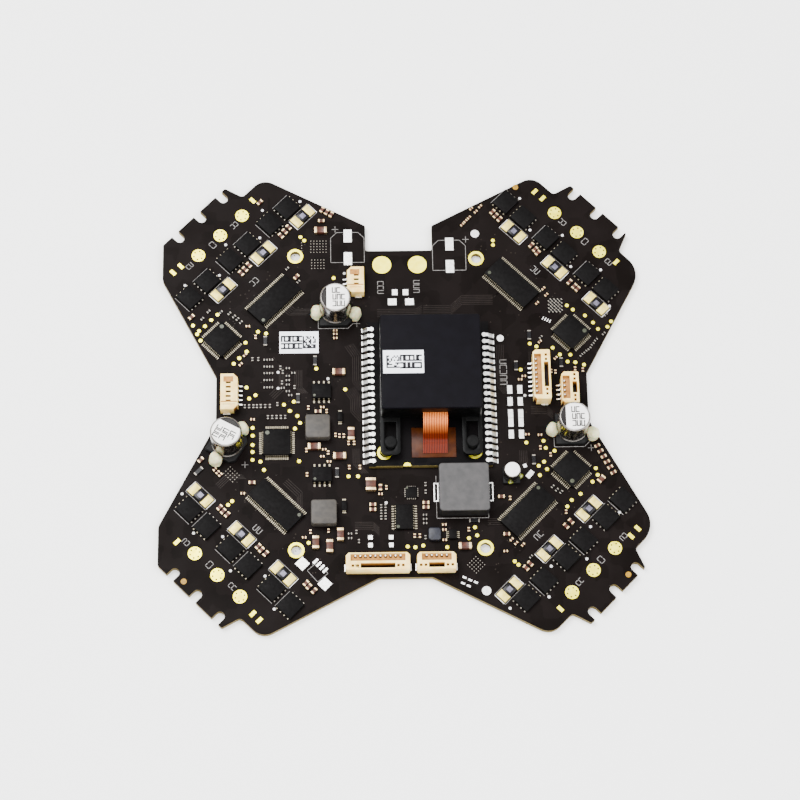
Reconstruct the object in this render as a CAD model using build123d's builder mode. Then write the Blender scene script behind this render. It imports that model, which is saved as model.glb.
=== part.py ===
"""Electronic speed controller and main board of a four-rotor craft.

A bare circuit board with four diagonal arms, one motor channel on each arm, and a
flight control module in the middle. A motion sensor block floats over the module on
soft rubber dampers, joined to it by a slack flex ribbon.

Frame: millimetres, +Z up out of the component side, origin at the middle of the
board's underside. "Along" an arm is the outward diagonal, "across" is at right angles
to it, positive towards the nearer Y end of the board.
"""

import os
from math import atan2, degrees, sqrt

from build123d import *

os.makedirs("parts", exist_ok=True)

# --- Main board ---------------------------------------------------------------------
BOARD_T = 1.6
BOARD_X = 61.87
TOP = BOARD_T
PAD_T = 0.06

ARM_TIP = 74.7
LOBE = 69.6
SLOT_END = 72.9
SLOT_W = 2.4
WIRE_PITCH = 8.0
WIRE_ACROSS = 0.5
WIRE_ALONG = 65.9
WIRE_PAD_D = 3.5
NOTCH_FLOOR = 41.4
HOLE_D = 2.7
RING_D = 4.1
HOLES = [(-27.3, 40.1), (-27.3, -40.1), (20.1, 39.0), (20.1, -40.1)]
POWER_PADS = [(-4.65, 37.4), (4.65, 37.4)]
POWER_PAD_D = 4.9

# --- The four arms: signs, shift of the phases across the arm, side of the shunts, and
# --- the side of the transistor that lies across in each pair ---------------------------
ARMS = [
    {"name": "1", "x": -1, "y": 1, "shift": -0.6, "shunt": 4.4, "pair": 1, "driver": (-3.7, 42.6)},
    {"name": "2", "x": 1, "y": 1, "shift": 0.9, "shunt": -4.1, "pair": -1, "driver": (1.7, 43.0)},
    {"name": "3", "x": -1, "y": -1, "shift": 0.2, "shunt": -3.8, "pair": -1, "driver": (-2.8, 42.9)},
    {"name": "4", "x": 1, "y": -1, "shift": -1.3, "shunt": 4.5, "pair": 1, "driver": (-0.3, 43.6)},
]
PHASE_PITCH = 14.7
PHASES = (-1, 0, 1)
FET_ALONG = 58.9
FET_GAP = 3.2
SHUNT_ALONG = 54.3
FET = (5.0, 6.0, 1.0)
SHUNT_END = (2.0, 3.0, 0.5)
SHUNT_SPAN = 4.5
DRIVER = (14.0, 6.1, 1.1)
LEAD_LIFT = 0.1
MCU = (7.0, 7.0, 1.4)
MCU_PLACES = [(-46.3, 16.5, 45), (44.1, 17.7, 45), (-32.1, -11.7, 0), (42.5, -19.8, 45)]

# --- Electrolytic capacitors: centre, turn of the base ---------------------------------
CANS = [("1", -16.9, 24.1, 0), ("2", 43.0, -9.05, 0), ("3", -44.6, -12.0, -32)]
CAN_D = 8.0
CAN_TOP = 10.5
CAN_BASE = 8.3
CAN_BASE_H = 1.4
SMALL_CAN = (27.2, -21.2)
SMALL_CAN_D = 4.2
SMALL_CAN_TOP = 5.4
SMALL_CAN_BASE = 4.4

GLUE_R = 1.75
GLUE = [
    (-21.6, 23.4), (-12.0, 23.0), (38.1, -9.5), (48.3, -10.6), (-47.6, -16.3), (-40.9, -8.2)
]

# --- Connectors ----------------------------------------------------------------------
PIN_PITCH = 1.25
CONNECTOR_D = 4.4
CONNECTOR_H = 4.2
SIDE_CONNECTOR_H = 3.4
HOUSING_ENDS = 4.7
CHANNEL_Y = 1.0
CHANNEL_W = 1.85
MOUTH_Y = -1.15
MOUTH_W = 1.2
MOUTH_PER_PIN = 0.93
MOUTH_LESS = 0.7
SIDE_MOUTH_ENDS = 2.1
SIDE_CAVITY = 3.1
CAVITY_DEPTH = 3.3
CONTACT_W = 0.4
FOOT_L = 1.1
ANCHOR = (0.4, 1.8, 0.5)
# name, pins, centre, turn that takes the side with the solder feet from +Y to its place
TOP_CONNECTORS = [
    ("connector_10_pin", 10, (-6.95, -44.3), 0),
    ("connector_5_pin", 5, (7.65, -44.3), 0),
    ("connector_8_pin", 8, (35.8, 4.8), 90),
    ("connector_4_pin", 4, (42.9, 1.2), 90),
]
SIDE_CONNECTORS = [
    ("side_connector_5_pin", 5, (-44.2, 1.3), -90),
    ("side_connector_3_pin", 3, (-11.6, 32.0), 90),
]

# --- Inductors: name, centre, plan size, height, terminal reach and width ---------------
MAIN_INDUCTOR = ((15.0, -25.4), (12.6, 12.6), 5.0)
TERMINAL = (1.25, 5.0, 0.35)
BUCK_INDUCTORS = [
    ((-21.7, -8.1), (6.3, 6.3), 3.0),
    ((-20.3, -30.9), (6.5, 6.4), 3.0),
    ((7.4, -36.6), (3.2, 3.4), 1.5),
]

# --- Small packages --------------------------------------------------------------------
SOIC = (4.9, 3.9, 1.5)
SOIC_PLACES = [(-20.7, 2.0), (-20.7, -20.5)]
TSSOP = (4.4, 6.5, 1.0)
TSSOP_PLACE = (-0.1, -31.9)
QFN = (3.0, 3.0, 0.85)
QFN_PLACE = (1.8, -25.4)
DIODE = (1.3, 2.6, 1.0)
DIODE_PLACES = [(-16.0, -4.9), (-15.2, -28.7)]
# chip capacitors by case size, then centre, turn and case of each one
CHIP = {"1210": (3.2, 2.5, 1.6), "1206": (3.2, 1.6, 1.2), "0805": (2.0, 1.25, 1.0)}
CHIPS = [
    (-16.2, 7.3, 0, "1206"),
    (-16.2, -15.5, 0, "1206"),
    (-22.6, -12.9, 0, "1206"),
    (-13.2, -9.6, 90, "1206"),
    (-22.4, -38.3, 90, "1206"),
    (-18.9, -39.3, 90, "1206"),
    (-16.2, -36.3, 90, "1206"),
    (15.0, -39.7, 0, "1206"),
    (-20.6, 47.2, 0, "1206"),
    (-8.4, -23.3, 90, "1210"),
    (50.0, -22.5, 45, "0805"),
]

# --- Control module and the sensor block over it -----------------------------------------
MODULE_T = 1.2
MODULE_X = (-8.8, 22.6)
MODULE_Y = (-18.7, 20.7)
MODULE_TOP = TOP + MODULE_T
CASTELLATION_PITCH = 1.8
CASTELLATION_R = 0.35
JOINT_W = 1.05
JOINT_L = 1.2
HALF_HOLE_X = 0.9
HALF_HOLE_R = 1.1
# edge of the module, first joint from the +Y end, number of joints, outward sign
CASTELLATIONS = [(MODULE_X[0], 18.85, 21, -1), (MODULE_X[1], 17.0, 20, 1)]
MODULE_RINGS = [(-4.8, -15.0), (18.1, -15.0)]
MODULE_RING_D = (3.8, 2.4)
PROCESSOR = ((7.3, 6.0), (10.0, 10.0), 0.85)

BLOCK_C = (7.15, 6.2)
BLOCK = (25.5, 25.4)
BLOCK_R = 0.6
BLOCK_TOP = TOP + 11.0
LID_T = 0.9
LID_LIP = 0.6
WALL = 1.1
GAP = 0.3
DAMPER_H = 1.6
BRACKET_T = 1.0
BRACKET_Z = MODULE_TOP + DAMPER_H
HOUSING_Z = BRACKET_Z + BRACKET_T
LID_Z = BLOCK_TOP - LID_T
ARM_XS = (-3.3, 17.5)
BRACKET_ARM_W = 5.1
BRACKET_ARM_END = -16.5
WINDOW_W = 3.0
WINDOW_Y = (-12.2, -7.6)
REAR_DAMPERS = [(-2.4, 15.0), (17.0, 15.0)]
FRONT_DAMPER_Y = -13.1
DAMPER_R = 1.9
DAMPER_WAIST_R = 1.35
DAMPER_NECK_R = 1.1
DAMPER_HEAD_R = 1.75
DAMPER_HEAD_H = 0.7
REAR_HOLE_R = 1.25

WEIGHT = (18.0, 18.0, 0.8)
SENSOR_BOARD = (20.0, 21.0, 1.0)
SENSOR_BOARD_Z = TOP + 5.9

FLEX_X = 8.15
FLEX_W = 6.3
FLEX_T = 0.2
FLEX_BEND_R = 2.2
FLEX_START_Y = -3.0
FLEX_CREST_Y = -8.9
FLEX_FOOT_Y = -12.0
FLEX_END_Y = -15.4
STIFFENER_T = 0.25
STIFFENER = ((7.75, -12.45), (11.3, 8.0))
LABEL_T = 0.1
SENSOR_LABEL = ((0.2, 5.9), (10.3, 6.2))
BOARD_LABEL = ((-26.4, 15.8), (10.1, 6.0))


def on_arm(arm, across, along):
    """Plan position of a point given across and along one arm."""
    return (arm["x"] * (along - across) / sqrt(2), arm["y"] * (along + across) / sqrt(2))


def arm_turn(arm):
    """Turn about Z that takes +Y to the arm's outward direction."""
    return degrees(atan2(arm["y"], arm["x"])) - 90


def spots(arm, places, z, turn=0.0):
    """Locations at the given (across, along) places of one arm, turned with the arm."""
    return [Location((*on_arm(arm, *p), z), (0, 0, arm_turn(arm) + turn)) for p in places]


def save(piece, name):
    """Label a finished piece and write it as the node of that name."""
    piece.part.label = name
    export_step(piece.part, f"parts/{name}.step")


BASE = (Align.CENTER, Align.CENTER, Align.MIN)


# ======================================================================================
# Main board
# ======================================================================================
def arm_outline(arm):
    """Corners of one arm and their radii, from the Y end round to the X side."""
    corners = [
        (on_arm(arm, 18.9, LOBE), 4.0),
        (on_arm(arm, 11.4, LOBE), 1.2),
        (on_arm(arm, 9.9, ARM_TIP), 0.5),
    ]
    if arm["x"] > 0:
        corners += [
            (on_arm(arm, -10.1, ARM_TIP), 0.5),
            (on_arm(arm, -12.0, LOBE), 1.2),
            (on_arm(arm, -19.9, LOBE), 6.0),
            ((47.65, arm["y"] * 6.5), 2.0),
        ]
    else:
        corners += [
            ((-BOARD_X, arm["y"] * 43.6), 0.8),
            ((-BOARD_X, arm["y"] * 33.5), 3.0),
            ((-47.65, arm["y"] * 6.5), 2.0),
        ]
    return corners


rear_left, rear_right, front_left, front_right = ARMS
outline = (
    [((8.6, NOTCH_FLOOR), 0.6), ((8.6, 48.5), 0.6)]
    + arm_outline(rear_right)
    + arm_outline(front_right)[::-1]
    + [((6.7, -47.5), 2.0), ((-6.7, -47.5), 2.0)]
    + arm_outline(front_left)
    + arm_outline(rear_left)[::-1]
    + [((-8.9, 48.65), 0.6), ((-8.9, NOTCH_FLOOR), 0.6)]
)

with BuildPart() as main_board:
    with BuildSketch() as board_outline:
        with BuildLine():
            FilletPolyline([c for c, _ in outline], radius=[r for _, r in outline], close=True)
        make_face()
        for arm in ARMS:
            places = [(WIRE_ACROSS - WIRE_PITCH * k - 1, SLOT_END + 3) for k in PHASES]
            with Locations([Location((*on_arm(arm, *p), 0)) for p in places]):
                tie_slot = arm_turn(arm) + 90
                SlotCenterToCenter(6.0, SLOT_W, rotation=tie_slot, mode=Mode.SUBTRACT)
        with Locations(HOLES):
            Circle(HOLE_D / 2, mode=Mode.SUBTRACT)
    extrude(amount=BOARD_T)
save(main_board, "main_board")

with BuildPart() as solder_pads:
    with BuildSketch(Plane.XY.offset(TOP)):
        for arm in ARMS:
            places = [(WIRE_ACROSS - WIRE_PITCH * k - 1, WIRE_ALONG) for k in PHASES]
            with Locations([Location((*on_arm(arm, *p), 0)) for p in places]):
                Circle(WIRE_PAD_D / 2)
        with Locations(POWER_PADS):
            Circle(POWER_PAD_D / 2)
    extrude(amount=PAD_T)
save(solder_pads, "solder_pads")

with BuildPart() as mounting_rings:
    with BuildSketch(Plane.XY.offset(TOP)):
        with Locations(HOLES):
            Circle(RING_D / 2)
            Circle(HOLE_D / 2, mode=Mode.SUBTRACT)
    extrude(amount=PAD_T)
    with BuildSketch(Plane.XY.offset(MODULE_TOP)):
        with Locations(MODULE_RINGS):
            Circle(MODULE_RING_D[0] / 2)
            Circle(MODULE_RING_D[1] / 2, mode=Mode.SUBTRACT)
    extrude(amount=PAD_T)
save(mounting_rings, "mounting_rings")

# ======================================================================================
# Motor channels
# ======================================================================================
for arm, (mcu_x, mcu_y, mcu_turn) in zip(ARMS, MCU_PLACES):
    with BuildPart() as gate_driver:
        with Locations(spots(arm, [arm["driver"]], TOP + LEAD_LIFT)):
            Box(*DRIVER, align=BASE)
        chamfer(gate_driver.faces().sort_by(Axis.Z)[-1].edges(), 0.12)
    save(gate_driver, f"gate_driver_{arm['name']}")

    with BuildPart() as controller:
        with Locations(Location((mcu_x, mcu_y, TOP + LEAD_LIFT), (0, 0, mcu_turn))):
            Box(*MCU, align=BASE)
        chamfer(controller.faces().sort_by(Axis.Z)[-1].edges(), 0.12)
    save(controller, f"motor_controller_{arm['name']}")

    centres = [arm["shift"] + PHASE_PITCH * k for k in PHASES]
    with BuildPart() as mosfets:
        side = FET_GAP * arm["pair"]
        with Locations(spots(arm, [(c - side, FET_ALONG) for c in centres], TOP)):
            Box(*FET, align=BASE)
        with Locations(spots(arm, [(c + side, FET_ALONG) for c in centres], TOP, 90)):
            Box(*FET, align=BASE)
    save(mosfets, f"mosfets_{arm['name']}")

    ends = [Pos(X=-SHUNT_SPAN / 2), Pos(X=SHUNT_SPAN / 2)]
    with BuildPart() as shunts:
        with Locations(spots(arm, [(c + arm["shunt"], SHUNT_ALONG) for c in centres], TOP)):
            Box(SHUNT_SPAN, SHUNT_END[1] - 0.2, SHUNT_END[2] + 0.15, align=BASE)
            with Locations(ends):
                Box(*SHUNT_END, align=BASE)
    save(shunts, f"shunts_{arm['name']}")

# ======================================================================================
# Capacitors
# ======================================================================================
cans = []
for name, can_x, can_y, turn in CANS:
    with BuildPart() as can:
        with BuildSketch(Plane.XZ.offset(-can_y)) as can_profile:
            with BuildLine():
                low, high, r = TOP + CAN_BASE_H, TOP + CAN_TOP, CAN_D / 2
                FilletPolyline(
                    (can_x, low),
                    (can_x + r - 0.1, low),
                    (can_x + r, low + 0.8),
                    (can_x + r - 0.4, low + 1.3),
                    (can_x + r, low + 1.8),
                    (can_x + r, high),
                    (can_x, high),
                    radius=[0, 0.1, 0.2, 0.1, 0.6],
                )
                Line((can_x, high), (can_x, low))
            make_face()
        revolve(axis=Axis((can_x, can_y, 0), (0, 0, 1)))
    save(can, f"capacitor_can_{name}")

    with BuildPart() as base:
        with BuildSketch(Plane((can_x, can_y, TOP), x_dir=Vector(1, 0).rotate(Axis.Z, turn))):
            square = Rectangle(CAN_BASE, CAN_BASE)
            chamfer(square.vertices().sort_by(Axis((0, 0, 0), (1, 0, 0)))[-2:], 1.2)
        extrude(amount=CAN_BASE_H)
    save(base, f"capacitor_base_{name}")
    cans += [can.part, base.part]

with BuildPart() as small_can:
    with BuildSketch(Plane.XY.offset(TOP + 0.9)):
        with Locations(SMALL_CAN):
            Circle(SMALL_CAN_D / 2)
    extrude(amount=SMALL_CAN_TOP - 0.9)
    fillet(small_can.faces().sort_by(Axis.Z)[-1].edges(), 0.4)
save(small_can, "small_capacitor_can")

with BuildPart() as small_base:
    with Locations((*SMALL_CAN, TOP)):
        Box(SMALL_CAN_BASE, SMALL_CAN_BASE, 0.9, align=BASE)
save(small_base, "small_capacitor_base")

with BuildPart() as glue_beads:
    with Locations([(x, y, TOP) for x, y in GLUE]):
        Cylinder(GLUE_R, GLUE_R + 0.6, align=BASE)
    with Locations([(x, y, TOP + GLUE_R + 0.6) for x, y in GLUE]):
        Sphere(GLUE_R)
    add(cans, mode=Mode.SUBTRACT)
save(glue_beads, "glue_beads")


# ======================================================================================
# Inductors
# ======================================================================================
with BuildPart() as main_inductor:
    centre, size, height = MAIN_INDUCTOR
    with BuildSketch(Plane.XY.offset(TOP)):
        with Locations(centre):
            RectangleRounded(*size, radius=0.9)
    extrude(amount=height)
    fillet(main_inductor.faces().sort_by(Axis.Z)[-1].edges(), 0.35)
save(main_inductor, "main_inductor")

with BuildPart() as main_inductor_terminals:
    reach = (MAIN_INDUCTOR[1][0] + TERMINAL[0]) / 2
    with Locations((*MAIN_INDUCTOR[0], TOP)):
        with Locations((-reach, 0), (reach, 0)):
            Box(*TERMINAL, align=BASE)
save(main_inductor_terminals, "main_inductor_terminals")

with BuildPart() as buck_inductors:
    for centre, size, height in BUCK_INDUCTORS:
        with BuildSketch(Plane.XY.offset(TOP)):
            with Locations(centre):
                body = Rectangle(*size)
        extrude(amount=height)
    uprights = buck_inductors.edges().filter_by(Axis.Z)
    chamfer(uprights, 0.45)
save(buck_inductors, "buck_inductors")


# ======================================================================================
# Connectors: every cavity faces away from the board or its edge
# ======================================================================================
def pin_places(pins, y, z):
    """Places of a row of pins across the middle of a connector."""
    return [((k - (pins - 1) / 2) * PIN_PITCH, y, z) for k in range(pins)]


def solder_feet(pins, width):
    """Gull feet on the +Y side and an anchor tab at each end, at board height."""
    with Locations(pin_places(pins, CONNECTOR_D / 2, 0)):
        Box(CONTACT_W, FOOT_L, 0.25, align=(Align.CENTER, Align.MIN, Align.MIN))
        Box(CONTACT_W, 0.2, 0.9, align=(Align.CENTER, Align.MIN, Align.MIN))
    with Locations((-width / 2 - ANCHOR[0] / 2, -0.7), (width / 2 + ANCHOR[0] / 2, -0.7)):
        Box(*ANCHOR, align=BASE)


for name, pins, centre, turn in TOP_CONNECTORS:
    width = PIN_PITCH * (pins - 1) + HOUSING_ENDS
    mouth = MOUTH_PER_PIN * pins - MOUTH_LESS
    place = Location((*centre, TOP), (0, 0, turn))
    with BuildPart() as housing:
        with BuildSketch():
            shell = Rectangle(width, CONNECTOR_D)
            chamfer(shell.vertices().group_by(Axis.Y)[-1], 0.7)
            chamfer(shell.vertices().group_by(Axis.Y)[0], 0.25)
        extrude(amount=CONNECTOR_H)
        # open channel over the contacts, then the mouth, then a keyway at each end of it
        with BuildSketch(Plane.XY.offset(CONNECTOR_H)):
            with Locations((0, CHANNEL_Y)):
                Rectangle(width - 2.3, CHANNEL_W)
        extrude(amount=-1.1, mode=Mode.SUBTRACT)
        with BuildSketch(Plane.XY.offset(CONNECTOR_H)):
            with Locations((0, MOUTH_Y)):
                Rectangle(mouth, MOUTH_W)
        extrude(amount=-CAVITY_DEPTH, mode=Mode.SUBTRACT)
        with BuildSketch(Plane.XY.offset(CONNECTOR_H)):
            for x in (mouth / 2 + 0.75, mouth / 2 + 1.95):
                with Locations((-x, MOUTH_Y), (x, MOUTH_Y)):
                    Rectangle(0.65, 0.6)
        extrude(amount=-1.4, mode=Mode.SUBTRACT)
        with BuildSketch(Plane.XY.offset(CONNECTOR_H)):
            with Locations(pin_places(pins, CHANNEL_Y + CHANNEL_W / 2 - 0.45, 0)):
                Rectangle(0.55, 0.9)
        extrude(amount=-2.4, mode=Mode.SUBTRACT)
    housing.part = place * housing.part
    save(housing, name)

    with BuildPart() as contacts:
        solder_feet(pins, width)
        with Locations(pin_places(pins, CHANNEL_Y + CHANNEL_W / 2 - 0.45, CONNECTOR_H - 2.4)):
            Box(CONTACT_W - 0.05, 0.45, 1.9, align=BASE)
    contacts.part = place * contacts.part
    save(contacts, f"{name}_contacts")

for name, pins, centre, turn in SIDE_CONNECTORS:
    width = PIN_PITCH * (pins - 1) + HOUSING_ENDS
    mouth = PIN_PITCH * (pins - 1) + SIDE_MOUTH_ENDS
    place = Location((*centre, TOP), (0, 0, turn))
    with BuildPart() as housing:
        Box(width, CONNECTOR_D, SIDE_CONNECTOR_H, align=BASE)
        with BuildSketch(Plane.XZ.offset(CONNECTOR_D / 2)):
            with Locations((0, SIDE_CONNECTOR_H / 2)):
                Rectangle(mouth, 2.0)
        extrude(amount=-SIDE_CAVITY, mode=Mode.SUBTRACT)
        with BuildSketch(Plane.XY.offset(SIDE_CONNECTOR_H)):
            with Locations(pin_places(pins, -0.2, 0)):
                Rectangle(0.5, 1.3)
        extrude(amount=-1.2, mode=Mode.SUBTRACT)
        corners = housing.edges().filter_by(Axis.Z).group_by(Axis.Y)[-1].sort_by(Axis.X)
        chamfer([corners[0], corners[-1]], 1.1)
    housing.part = place * housing.part
    save(housing, name)

    with BuildPart() as contacts:
        solder_feet(pins, width)
        with Locations(pin_places(pins, SIDE_CAVITY - CONNECTOR_D / 2, SIDE_CONNECTOR_H / 2)):
            Box(CONTACT_W, 2.4, 0.4, align=(Align.CENTER, Align.MAX, Align.CENTER))
    contacts.part = place * contacts.part
    save(contacts, f"{name}_contacts")

# ======================================================================================
# Small packages
# ======================================================================================
with BuildPart() as regulator_ics:
    with Locations([(x, y, TOP + LEAD_LIFT) for x, y in SOIC_PLACES]):
        Box(*SOIC, align=BASE)
    chamfer(regulator_ics.faces().sort_by(Axis.Z)[-2:].edges(), 0.15)
save(regulator_ics, "regulator_ics")

with BuildPart() as interface_ics:
    with Locations((*TSSOP_PLACE, TOP + LEAD_LIFT)):
        Box(*TSSOP, align=BASE)
    with Locations((*QFN_PLACE, TOP)):
        Box(*QFN, align=BASE)
save(interface_ics, "interface_ics")

with BuildPart() as rectifier_diodes:
    with Locations([(x, y, TOP) for x, y in DIODE_PLACES]):
        Box(*DIODE, align=BASE)
    chamfer(rectifier_diodes.faces().sort_by(Axis.Z)[-2:].edges(), 0.12)
save(rectifier_diodes, "rectifier_diodes")

with BuildPart() as ceramic_capacitors:
    for x, y, turn, case in CHIPS:
        with Locations(Location((x, y, TOP), (0, 0, turn))):
            Box(*CHIP[case], align=BASE)
save(ceramic_capacitors, "ceramic_capacitors")

# ======================================================================================
# Control module, soldered flat to the board by its castellated edges
# ======================================================================================
with BuildPart() as control_module:
    with BuildSketch(Plane.XY.offset(TOP)):
        with Locations((sum(MODULE_X) / 2, sum(MODULE_Y) / 2)):
            Rectangle(MODULE_X[1] - MODULE_X[0], MODULE_Y[1] - MODULE_Y[0])
        for x, first, count, _ in CASTELLATIONS:
            with Locations([(x, first - CASTELLATION_PITCH * k) for k in range(count)]):
                Circle(CASTELLATION_R, mode=Mode.SUBTRACT)
        with Locations((HALF_HOLE_X, MODULE_Y[0])):
            Circle(HALF_HOLE_R, mode=Mode.SUBTRACT)
    extrude(amount=MODULE_T)
save(control_module, "control_module")

with BuildPart() as castellation_joints:
    for x, first, count, side in CASTELLATIONS:
        with BuildSketch(Plane.XZ.offset(-first)):
            with BuildLine():
                toe = x + side * JOINT_L
                Polyline(
                    (x, TOP),
                    (x, TOP + MODULE_T - 0.1),
                    (x + side * 0.3, TOP + MODULE_T - 0.4),
                    (toe, TOP + 0.15),
                    (toe, TOP),
                    close=True,
                )
            make_face()
        joint = extrude(amount=JOINT_W / 2, both=True)
        for k in range(1, count):
            add(Pos(Y=-CASTELLATION_PITCH * k) * joint)
save(castellation_joints, "castellation_joints")

with BuildPart() as module_processor:
    centre, size, height = PROCESSOR
    with Locations((*centre, MODULE_TOP)):
        Box(*size, height, align=BASE)
save(module_processor, "module_processor")

with BuildPart() as flex_stiffener:
    with Locations((*STIFFENER[0], MODULE_TOP)):
        Box(*STIFFENER[1], STIFFENER_T, align=BASE)
save(flex_stiffener, "flex_stiffener")

# ======================================================================================
# Floating sensor block
# ======================================================================================
with BuildPart() as rubber_dampers:
    places = [(x, FRONT_DAMPER_Y) for x in ARM_XS] + REAR_DAMPERS
    with BuildSketch(Plane.XZ) as damper_profile:
        with BuildLine():
            low, high = MODULE_TOP + PAD_T, BRACKET_Z + BRACKET_T
            Polyline(
                (0, low),
                (DAMPER_R, low),
                (DAMPER_R, low + 0.4),
                (DAMPER_WAIST_R, low + 0.6),
                (DAMPER_WAIST_R, BRACKET_Z - 0.5),
                (DAMPER_R, BRACKET_Z - 0.3),
                (DAMPER_R, BRACKET_Z),
                (DAMPER_NECK_R, BRACKET_Z),
                (DAMPER_NECK_R, high),
                (DAMPER_HEAD_R, high),
                (DAMPER_HEAD_R - 0.3, high + DAMPER_HEAD_H),
                (0, high + DAMPER_HEAD_H),
                close=True,
            )
        make_face()
    damper = revolve(axis=Axis.Z, mode=Mode.PRIVATE)
    for x, y in places:
        add(Pos(x, y) * damper)
save(rubber_dampers, "rubber_dampers")

with BuildPart() as sensor_bracket:
    with BuildSketch(Plane.XY.offset(BRACKET_Z)):
        with Locations(BLOCK_C):
            RectangleRounded(BLOCK[0] - 0.6, BLOCK[1] - 0.6, radius=0.8)
        for x in ARM_XS:
            arm_top = BLOCK_C[1]
            with Locations((x, (arm_top + BRACKET_ARM_END) / 2)):
                RectangleRounded(BRACKET_ARM_W, arm_top - BRACKET_ARM_END, radius=1.4)
        for x in ARM_XS:
            with Locations((x, sum(WINDOW_Y) / 2)):
                Rectangle(WINDOW_W, WINDOW_Y[1] - WINDOW_Y[0], mode=Mode.SUBTRACT)
            with Locations((x, FRONT_DAMPER_Y)):
                SlotCenterToCenter(2.0, 2 * REAR_HOLE_R, rotation=90, mode=Mode.SUBTRACT)
        with Locations(REAR_DAMPERS):
            Circle(REAR_HOLE_R, mode=Mode.SUBTRACT)
    extrude(amount=BRACKET_T)
save(sensor_bracket, "sensor_bracket")

with BuildPart() as sensor_housing:
    with BuildSketch(Plane.XY.offset(HOUSING_Z)):
        with Locations(BLOCK_C):
            RectangleRounded(*BLOCK, radius=BLOCK_R)
    extrude(amount=LID_Z - HOUSING_Z)
    inside = (BLOCK[0] - 2 * WALL, BLOCK[1] - 2 * WALL)
    with BuildSketch(Plane.XY.offset(HOUSING_Z + WALL)):
        with Locations(BLOCK_C):
            Rectangle(*inside)
            with GridLocations(inside[0] - 2.4, inside[1] - 2.0, 2, 2):
                Rectangle(1.6, 1.6, mode=Mode.SUBTRACT)
    extrude(amount=SENSOR_BOARD_Z - HOUSING_Z - WALL, mode=Mode.SUBTRACT)
    with BuildSketch(Plane.XY.offset(SENSOR_BOARD_Z)):
        with Locations(BLOCK_C):
            Rectangle(*inside)
    extrude(amount=LID_Z - SENSOR_BOARD_Z, mode=Mode.SUBTRACT)
    with BuildSketch(Plane.XY.offset(HOUSING_Z)):
        with Locations(REAR_DAMPERS):
            Circle(DAMPER_HEAD_R + 0.35)
    extrude(amount=WALL, mode=Mode.SUBTRACT)
    flex_z = SENSOR_BOARD_Z + SENSOR_BOARD[2] + FLEX_T / 2
    with Locations((FLEX_X, BLOCK_C[1] - BLOCK[1] / 2 + WALL / 2, flex_z)):
        Box(FLEX_W + 0.7, WALL + 0.2, 1.0, mode=Mode.SUBTRACT)
save(sensor_housing, "sensor_housing")

with BuildPart() as sensor_lid:
    with BuildSketch(Plane.XY.offset(LID_Z)):
        with Locations(BLOCK_C):
            RectangleRounded(*BLOCK, radius=BLOCK_R)
    extrude(amount=LID_T)
    chamfer(sensor_lid.faces().sort_by(Axis.Z)[-1].edges(), 0.22)
    with BuildSketch(Plane.XY.offset(LID_Z)):
        with Locations(BLOCK_C):
            Rectangle(inside[0] - GAP, inside[1] - GAP)
            Rectangle(inside[0] - GAP - 1.6, inside[1] - GAP - 1.6, mode=Mode.SUBTRACT)
    extrude(amount=-LID_LIP)
save(sensor_lid, "sensor_lid")

with BuildPart() as sensor_weight:
    with Locations((*BLOCK_C, HOUSING_Z + WALL)):
        Box(*WEIGHT, align=BASE)
save(sensor_weight, "sensor_weight")

with BuildPart() as sensor_board:
    with Locations((*BLOCK_C, SENSOR_BOARD_Z)):
        Box(*SENSOR_BOARD, align=BASE)
save(sensor_board, "sensor_board")

with BuildPart() as flex_ribbon:
    with BuildSketch(Plane.YZ.offset(FLEX_X)):
        with BuildLine():
            FilletPolyline(
                (FLEX_START_Y, SENSOR_BOARD_Z + SENSOR_BOARD[2]),
                (FLEX_CREST_Y, SENSOR_BOARD_Z + SENSOR_BOARD[2]),
                (FLEX_FOOT_Y, MODULE_TOP + STIFFENER_T),
                (FLEX_END_Y, MODULE_TOP + STIFFENER_T),
                radius=FLEX_BEND_R,
            )
            offset(amount=FLEX_T, side=Side.RIGHT)
        make_face()
    extrude(amount=FLEX_W / 2, both=True)
save(flex_ribbon, "flex_ribbon")

# ======================================================================================
# Labels
# ======================================================================================
LABELS = [
    ("sensor_label", SENSOR_LABEL, BLOCK_TOP),
    ("board_label", BOARD_LABEL, TOP),
]
for name, (centre, size), z in LABELS:
    with BuildPart() as label:
        with Locations((*centre, z)):
            Box(*size, LABEL_T, align=BASE)
    save(label, name)
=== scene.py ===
"""Looks of a four-channel speed controller board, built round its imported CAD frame.

The board, the connectors, the moulded packages, the capacitors and the floating sensor
block take their shape from the CAD nodes. This file softens their edges, adds the leads,
small chips, test points, ink and labels that are too fine for the CAD model, and gives
each piece the finish of the real one. Lengths in the tables are millimetres.
"""

import random
from math import atan2, cos, degrees, hypot, pi, radians, sin, sqrt

import bpy
from bpy.props import FloatProperty, PointerProperty
from mathutils import Matrix, Vector


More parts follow.
